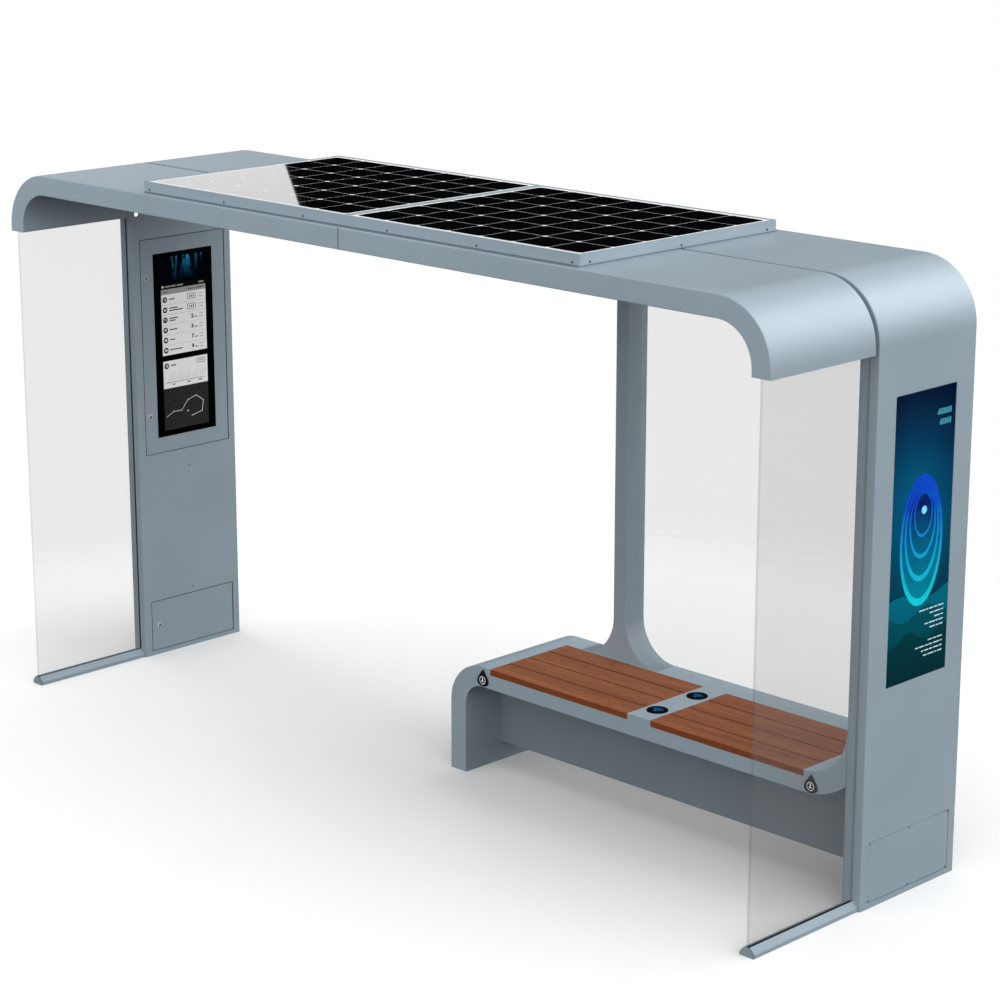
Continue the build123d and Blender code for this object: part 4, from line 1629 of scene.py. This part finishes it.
    def charger(self, node: str) -> None:
        """A round charging pad with a raised rim and blue arcs.

        Args:
            node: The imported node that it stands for.
        """
        box, form = Bounds.of(node), Form()
        x, y, z = box.centre.x, box.centre.y, box.high.z - self.rim_high
        top = form.stud((x, y, box.low.z), (0, 0, 1), box.size.x / 2, box.size.z, sides=72)
        form.soften(top.edges, self.rim_edge)
        form.dish(max(form.bm.faces, key=lambda f: f.calc_center_median().z), self.rim,
                  self.rim_high)
        form.piece(f"{node}_pad", PAD, [node], smooth=40)
        marks = Print((x, y, z), Axis.X, Axis.Y)
        for radius in self.arcs:
            marks.arc((0.0, self.arc_foot), radius, self.arc_wide, *self.arc_span)
        marks.disc((0.0, self.dot[0]), self.dot[1])
        marks.piece(f"{node}_mark", BLUE_PRINT)

    def cover(self, node: str) -> None:
        """A drop-shaped cover with an eased rim and a plain mark.

        Args:
            node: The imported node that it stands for.
        """
        box, form = Bounds.of(node), Form()
        x, radius, high = box.centre.x, box.size.x / 2, box.high.z
        middle = box.low.z + radius
        reach = (high - box.low.z) * math.tan(math.asin(radius / (high - middle)))
        face = form.outline([(x - reach, box.low.z), (x + reach, box.low.z), (x, high)], Axis.Y,
                            box.high.y, [reach * 0.995, reach * 0.995, self.tip], 20)
        form.solid(face, (0, -box.size.y, 0))
        form.soften(form.rim(Axis.Y, box.low.y), self.rim_edge)
        form.piece(f"{node}_shell", COVER, [node], smooth=40)
        marks = Print((x, box.low.y, middle), Axis.X, Axis.Z)
        marks.ring((0.0, self.mark_low), *self.mark_ring)
        for corners in self.mark:
            marks.bar(*corners)
        # The mark's white print glows: painted light.
        marks.piece(f"{node}_mark", GLOWING_WHITE_PRINT)


@dataclass
class BackScreen:
    """Rear post with its flared foot, and the rear pane."""

    flare: float = 0.165
    edge: float = 0.003
    foot: float = 0.004
    tip: float = 0.0005

    def build(self) -> None:
        """Builds the post and dresses the pane."""
        box, form = Bounds.of("back_post"), Form()
        (x0, y0, z0), (x1, y1, z1), tip, flare = box.low, box.high, self.tip, self.flare
        left, right, foot = x0 - tip, x1 + tip, z0 - self.foot
        face = form.outline([(left, foot), (right, foot), (right, z0), (x1 - flare, z0),
                             (x1 - flare, z1), (x0 + flare, z1), (x0 + flare, z0), (left, z0)],
                            Axis.Y, y0, [0, 0, 0, flare, 0, 0, flare, 0], 24)
        form.solid(face, (0, box.size.y, 0))
        form.soften(form.rim(Axis.Y, y0) + form.rim(Axis.Y, y1), self.edge, 2)
        form.piece("back_post_shell", PAINT, ["back_post"])
        dress(GLASS, "back_glass")


# ---- solar unit
@dataclass
class SolarUnit:
    """Folded skirt with a bar across, and two modules of square cells with cut corners."""

    rim: float = 0.0135
    bar: float = 0.030
    lift: float = 0.004
    lift_inset: float = 0.0015
    # Painted shadow: how far the grey strip reaches in front of the skirt, and how far its
    # underside lies below the skirt's foot.
    drip: float = 0.019
    shadow_sunk: float = 0.0005
    gasket_and_shadow_edge: float = 0.0004
    recess: float = 0.008
    fold: float = 0.0015
    across: int = 7
    along: int = 6
    pitch: float = 0.1575
    cell: float = 0.1555
    corner: float = 0.0105
    cell_deep: float = 0.0001
    screw: float = 0.0040
    screw_up: float = 0.012
    screw_in: float = 0.034
    screw_sunk: float = 0.0002
    side_in: float = 0.049
    glass_in: float = 0.0010

    def tray(self) -> None:
        """The skirt with a recess for each module, its gasket, and a grey strip of painted shadow
        on the roof in front of it.
        """
        box, form, gasket_and_shadow, inset = Bounds.of("solar_tray"), Form(), Form(), self.lift_inset
        (x0, y0, z0), (x1, y1, top) = box.low, box.high
        form.block((x0, y0, z0 + self.lift), box.high)
        for sign in (-1, 1):
            form.cut(Axis.X, sign * (self.bar / 2 - self.rim), form.facing(Axis.Z))
        big = [f for f in form.facing(Axis.Z) if f.calc_area() > 1]
        bmesh.ops.inset_individual(form.bm, faces=big, thickness=self.rim, depth=0.0)
        for face in big:
            form.pull([face], (0, 0, -self.recess))
        form.outward()
        form.soften(form.folded(lambda e: max(v.co.z for v in e.verts) > top - TOUCH
                                or climb(e) > self.drip), self.fold / 2, 2)
        form.piece("solar_skirt", PAINT, ["solar_tray"])
        gasket_and_shadow.block((x0 + inset, y0 + inset, z0), (x1 - inset, y1 - inset, z0 + self.lift))
        # Painted shadow: a grey strip on the roof along the front of the skirt.
        gasket_and_shadow.block((x0 + self.drip, y0 - self.drip, z0 - self.shadow_sunk),
                     (x1, y0 + 2 * inset, z0 + self.fold))
        gasket_and_shadow.soften(gasket_and_shadow.folded(), self.gasket_and_shadow_edge, 1)
        gasket_and_shadow.piece("skirt_gasket_and_shadow_strip", GASKET_AND_SHADOW_GREY)

    def screws(self) -> None:
        """Screws along the skirt."""
        box, form = Bounds.of("solar_tray"), Form()
        z, sunk = box.low.z + self.screw_up, self.screw_sunk
        for step in range(6):
            x = box.low.x + self.screw_in + step * (box.size.x - 2 * self.screw_in) / 5
            form.screw((x, box.low.y + sunk, z), (0, -1, 0), self.screw)
            form.screw((x, box.high.y - sunk, z), (0, 1, 0), self.screw)
        for step in range(3):
            y = box.low.y + self.side_in + step * (box.size.y - 2 * self.side_in) / 2
            form.screw((box.low.x + sunk, y, z), (-1, 0, 0), self.screw)
            form.screw((box.high.x - sunk, y, z), (1, 0, 0), self.screw)
        form.piece("skirt_screws", DARK_STEEL)

    def module(self, side: Side) -> None:
        """One module: white sheet below, black cells on it.

        Args:
            side: Which half of the tray it fills.
        """
        node = f"solar_module_{side.word}"
        box, sheet, cells = Bounds.of(node), Form(), Form()
        top, half = box.high.z - self.glass_in, Vector((self.cell, self.cell, 0)) / 2
        sheet.block((box.low.x, box.low.y, box.high.z - self.recess + self.fold),
                    (box.high.x, box.high.y, top))
        sheet.piece(f"{node}_sheet", BACKSHEET, [node])
        middle = side.value * (max(-box.low.x, box.high.x) + self.bar / 2) / 2
        for column in range(self.across):
            for row in range(self.along):
                at = Vector((middle + (column + 0.5 - self.across / 2) * self.pitch,
                             box.centre.y + (row + 0.5 - self.along / 2) * self.pitch, top))
                cells.tile(at - half, at + half + Vector((0, 0, self.cell_deep)), self.corner, 1)
        cells.piece(f"{node}_cells", CELL)

    def build(self) -> None:
        """Builds the tray with its screws, and both modules."""
        self.tray()
        self.screws()
        for side in Side:
            self.module(side)


# ---- studio
@dataclass(frozen=True)
class Lamp:
    """A square soft lamp for the pieces whose names start in one of some ways."""

    name: str
    place: Point
    aim: Point
    size: float
    power: float
    lights: tuple[str, ...]
    sheen: bool = False
    shade: bool = False

    def make(self, tint: Point) -> bpy.types.Object:
        """Sets the lamp up; it gives either sheen or light.

        Args:
            tint: Colour of its sheen.

        Returns:
            The lamp.
        """
        data = bpy.data.lights.new(self.name, "AREA")
        data.size, data.energy = self.size, self.power
        data.color = tint if self.sheen else WHITE[:3]
        made, aim = shown(self.name, data), Vector(self.aim) - Vector(self.place)
        made.location = self.place
        made.rotation_euler = aim.to_track_quat("-Z", "Y").to_euler()
        made.visible_diffuse, made.visible_glossy = not self.sheen, self.sheen
        return made


@dataclass
class Studio:
    """Camera, lamps, world and floor."""

    eye: tuple[float, float, float] = (7.3073, -7.0302, 3.7952)
    turn: tuple[float, float, float] = (75.0, 0.0, 45.0)
    lens: float = 99.51
    heights: tuple[float, ...] = (0.0, 0.2, 0.45, 0.7, 1.0)
    sides: tuple[tuple[Point, tuple[float, ...]], ...] = (
        ((1, 0, 0), (3.15, 3.2, 2.4, 1.45, 0.0)), ((0, 1, 0), (0.0, 0.0, 1.12, 0.5, 0.0)),
        ((-1, 0, 0), (0.0, 0.0, 0.0, 0.6, 0.0)), ((0, -1, 0), (2.45, 1.85, 0.88, 0.8, 0.0)))
    zenith: float = 1.64
    brightest: float = 4.0
    card_away: float = 60.0
    card_from: Point = (-0.6, 0.0, 2.2)
    card_edge: tuple[Pair, ...] = ((63.0, 4.0), (50.97, 4.0), (47.64, 14.0), (63.0, 14.0))
    card_strength: float = 1.52
    floor_size: float = 160.0
    floor_tone: float = 0.98
    bounce: float = 0.04
    mirror: float = 0.04
    open_from: Pair = (2.7, 3.9)
    sheen_tint: tuple[float, float, float] = (0.84, 0.95, 1.0)
    lamps: tuple[Lamp, ...] = (
        Lamp("sheen", (5.3, 7.5, 7.0), (1.8, 0.2, 2.0), 7.0, 950, ("roof_", "tower_"), sheen=True),
        Lamp("seat", (1.2, -0.6, 5.0), (1.0, 0.2, 0.4), 3.0, 110,
             ("bench_", "charger_", "plank_"), shade=True),
        Lamp("side", (-6.0, 0.6, 3.0), (-2.6, 0.3, 0.0), 2.0, 38, ("studio_floor",)),
        Lamp("front", (-3.5, -7.0, 2.6), (0.4, -0.5, 2.15), 3.0, 120,
             ("roof_front", "solar_skirt")))

    def camera(self) -> None:
        """The camera, looking across the shelter from its front right."""
        data = bpy.data.cameras.new("camera")
        data.lens, data.clip_end = self.lens, 300.0
        made = shown("camera", data)
        made.location = self.eye
        made.rotation_euler = [math.radians(angle) for angle in self.turn]
        bpy.context.scene.camera = made

    def world(self) -> None:
        """White to the camera and through glass; for the rest each side has its own light."""
        bpy.context.scene.world = bpy.data.worlds.new("studio")
        nodes = Shading(bpy.context.scene.world, "OutputWorld")
        ray = nodes.out("NewGeometry", pick="Position")
        height = nodes.part(Axis.Z, ray)
        flat = nodes.out("VectorMath", {0: ray, 1: (1, 1, 0)}, operation="MULTIPLY")
        flat = nodes.out("VectorMath", {0: flat}, operation="NORMALIZE")
        total = self.by_height(nodes, height, (0.0, 0.0, 0.0, 0.0, self.zenith))
        for bearing, levels in self.sides:
            share = nodes.out("VectorMath", {0: flat, 1: bearing}, "Value", operation="DOT_PRODUCT")
            share = nodes.maths("POWER", nodes.maths("MAXIMUM", share, 0.0), 2.0)
            total = nodes.maths("MULTIPLY_ADD", share, self.by_height(nodes, height, levels), total)
        lit = nodes.out("Background", {"Color": WHITE, "Strength": total})
        white = nodes.out("Background", {"Color": WHITE, "Strength": 1.0})
        nodes.done(nodes.blend(nodes.seen(), lit, white))

    def by_height(self, nodes: Shading, height: Socket, levels: Sequence[float]) -> Socket:
        """Light that changes with height, from its level at each of the studio's heights."""
        greys = [(*[level / self.brightest] * 3, 1.0) for level in levels]
        return nodes.maths("MULTIPLY", nodes.stops(height, list(zip(self.heights, greys))),
                           self.brightest)

    def floor(self) -> None:
        """A white floor with the shelter's shadow and a faint reflection, open far away."""
        form = Form()
        bmesh.ops.create_grid(form.bm, x_segments=1, y_segments=1, size=self.floor_size / 2)
        floor = form.made("studio_floor")
        floor.data.materials.append(bpy.data.materials.new("studio_floor"))
        nodes = Shading(floor.active_material)
        diffuse = nodes.out("LightPath", pick="Is Diffuse Ray")
        tone = nodes.maths("MULTIPLY_ADD", nodes.seen(), self.floor_tone,
                           nodes.maths("MULTIPLY", diffuse, self.bounce))
        gloss = nodes.out("BsdfGlossy", {"Color": WHITE, "Roughness": 0.06})
        lit = nodes.blend(nodes.maths("MULTIPLY", nodes.seen(), self.mirror),
                          nodes.out("BsdfDiffuse", {"Color": tone}), gloss)
        far = nodes.maths("MULTIPLY", nodes.seen(), nodes.ramp(
            nodes.away(), 0.0, 1.0, *self.open_from, interpolation_type="SMOOTHSTEP"))
        nodes.done(nodes.blend(far, lit, nodes.out("BsdfTransparent")))

    def link(self, light: bpy.types.Object, only_on: tuple[str, ...], shade: bool = False) -> None:
        """Keeps a light to some pieces.

        Args:
            light: The lamp or card.
            only_on: How the names of the pieces start.
            shade: Whether those pieces alone cast shadows in its light.
        """
        lit = bpy.data.collections.new(f"{light.name}_lit")
        for piece in bpy.context.scene.objects:
            if piece.name.startswith(only_on) and piece.type == "MESH":
                lit.objects.link(piece)
        light.light_linking.receiver_collection = lit
        if shade:
            light.light_linking.blocker_collection = lit

    def card(self, name: str) -> None:
        """A white card, far behind the shelter, that shows only in the modules and the roof.

        Args:
            name: Its name.
        """
        form = Form()
        for bearing, height in self.card_edge:
            turn = (Matrix.Rotation(math.radians(bearing), 3, "Z")
                    @ Matrix.Rotation(math.radians(height), 3, "X"))
            bmesh.ops.create_vert(form.bm, co=turn @ Vector((0, self.card_away, 0))
                                  + Vector(self.card_from))
        bmesh.ops.contextual_create(form.bm, geom=form.bm.verts[:])
        made = form.made(name)
        made.data.materials.append(bpy.data.materials.new(name))
        nodes = Shading(made.active_material)
        nodes.done(nodes.out("Emission", {"Color": WHITE, "Strength": self.card_strength}))
        made.visible_camera = made.visible_diffuse = made.visible_transmission = False
        made.visible_shadow = made.visible_volume_scatter = False
        self.link(made, ("solar_module", "roof_"))

    def build(self) -> None:
        """Sets up the whole studio."""
        self.camera()
        self.world()
        self.floor()
        for lamp in self.lamps:
            self.link(lamp.make(self.sheen_tint), lamp.lights, lamp.shade)
        self.card("module_sheen")
        bpy.context.scene.view_settings.view_transform = "Standard"


def main() -> None:
    """Builds every sub-assembly, then the studio."""
    logging.basicConfig(level=logging.INFO, format="%(message)s")
    parts = [Roof(), *map(SideScreen, Side), LeftTower(), RightTower(), Bench(), BackScreen(),
             SolarUnit()]
    for part in parts:
        log.info("== %s", type(part).__name__)
        part.build()
    Studio().build()


if __name__ == "__main__":
    main()
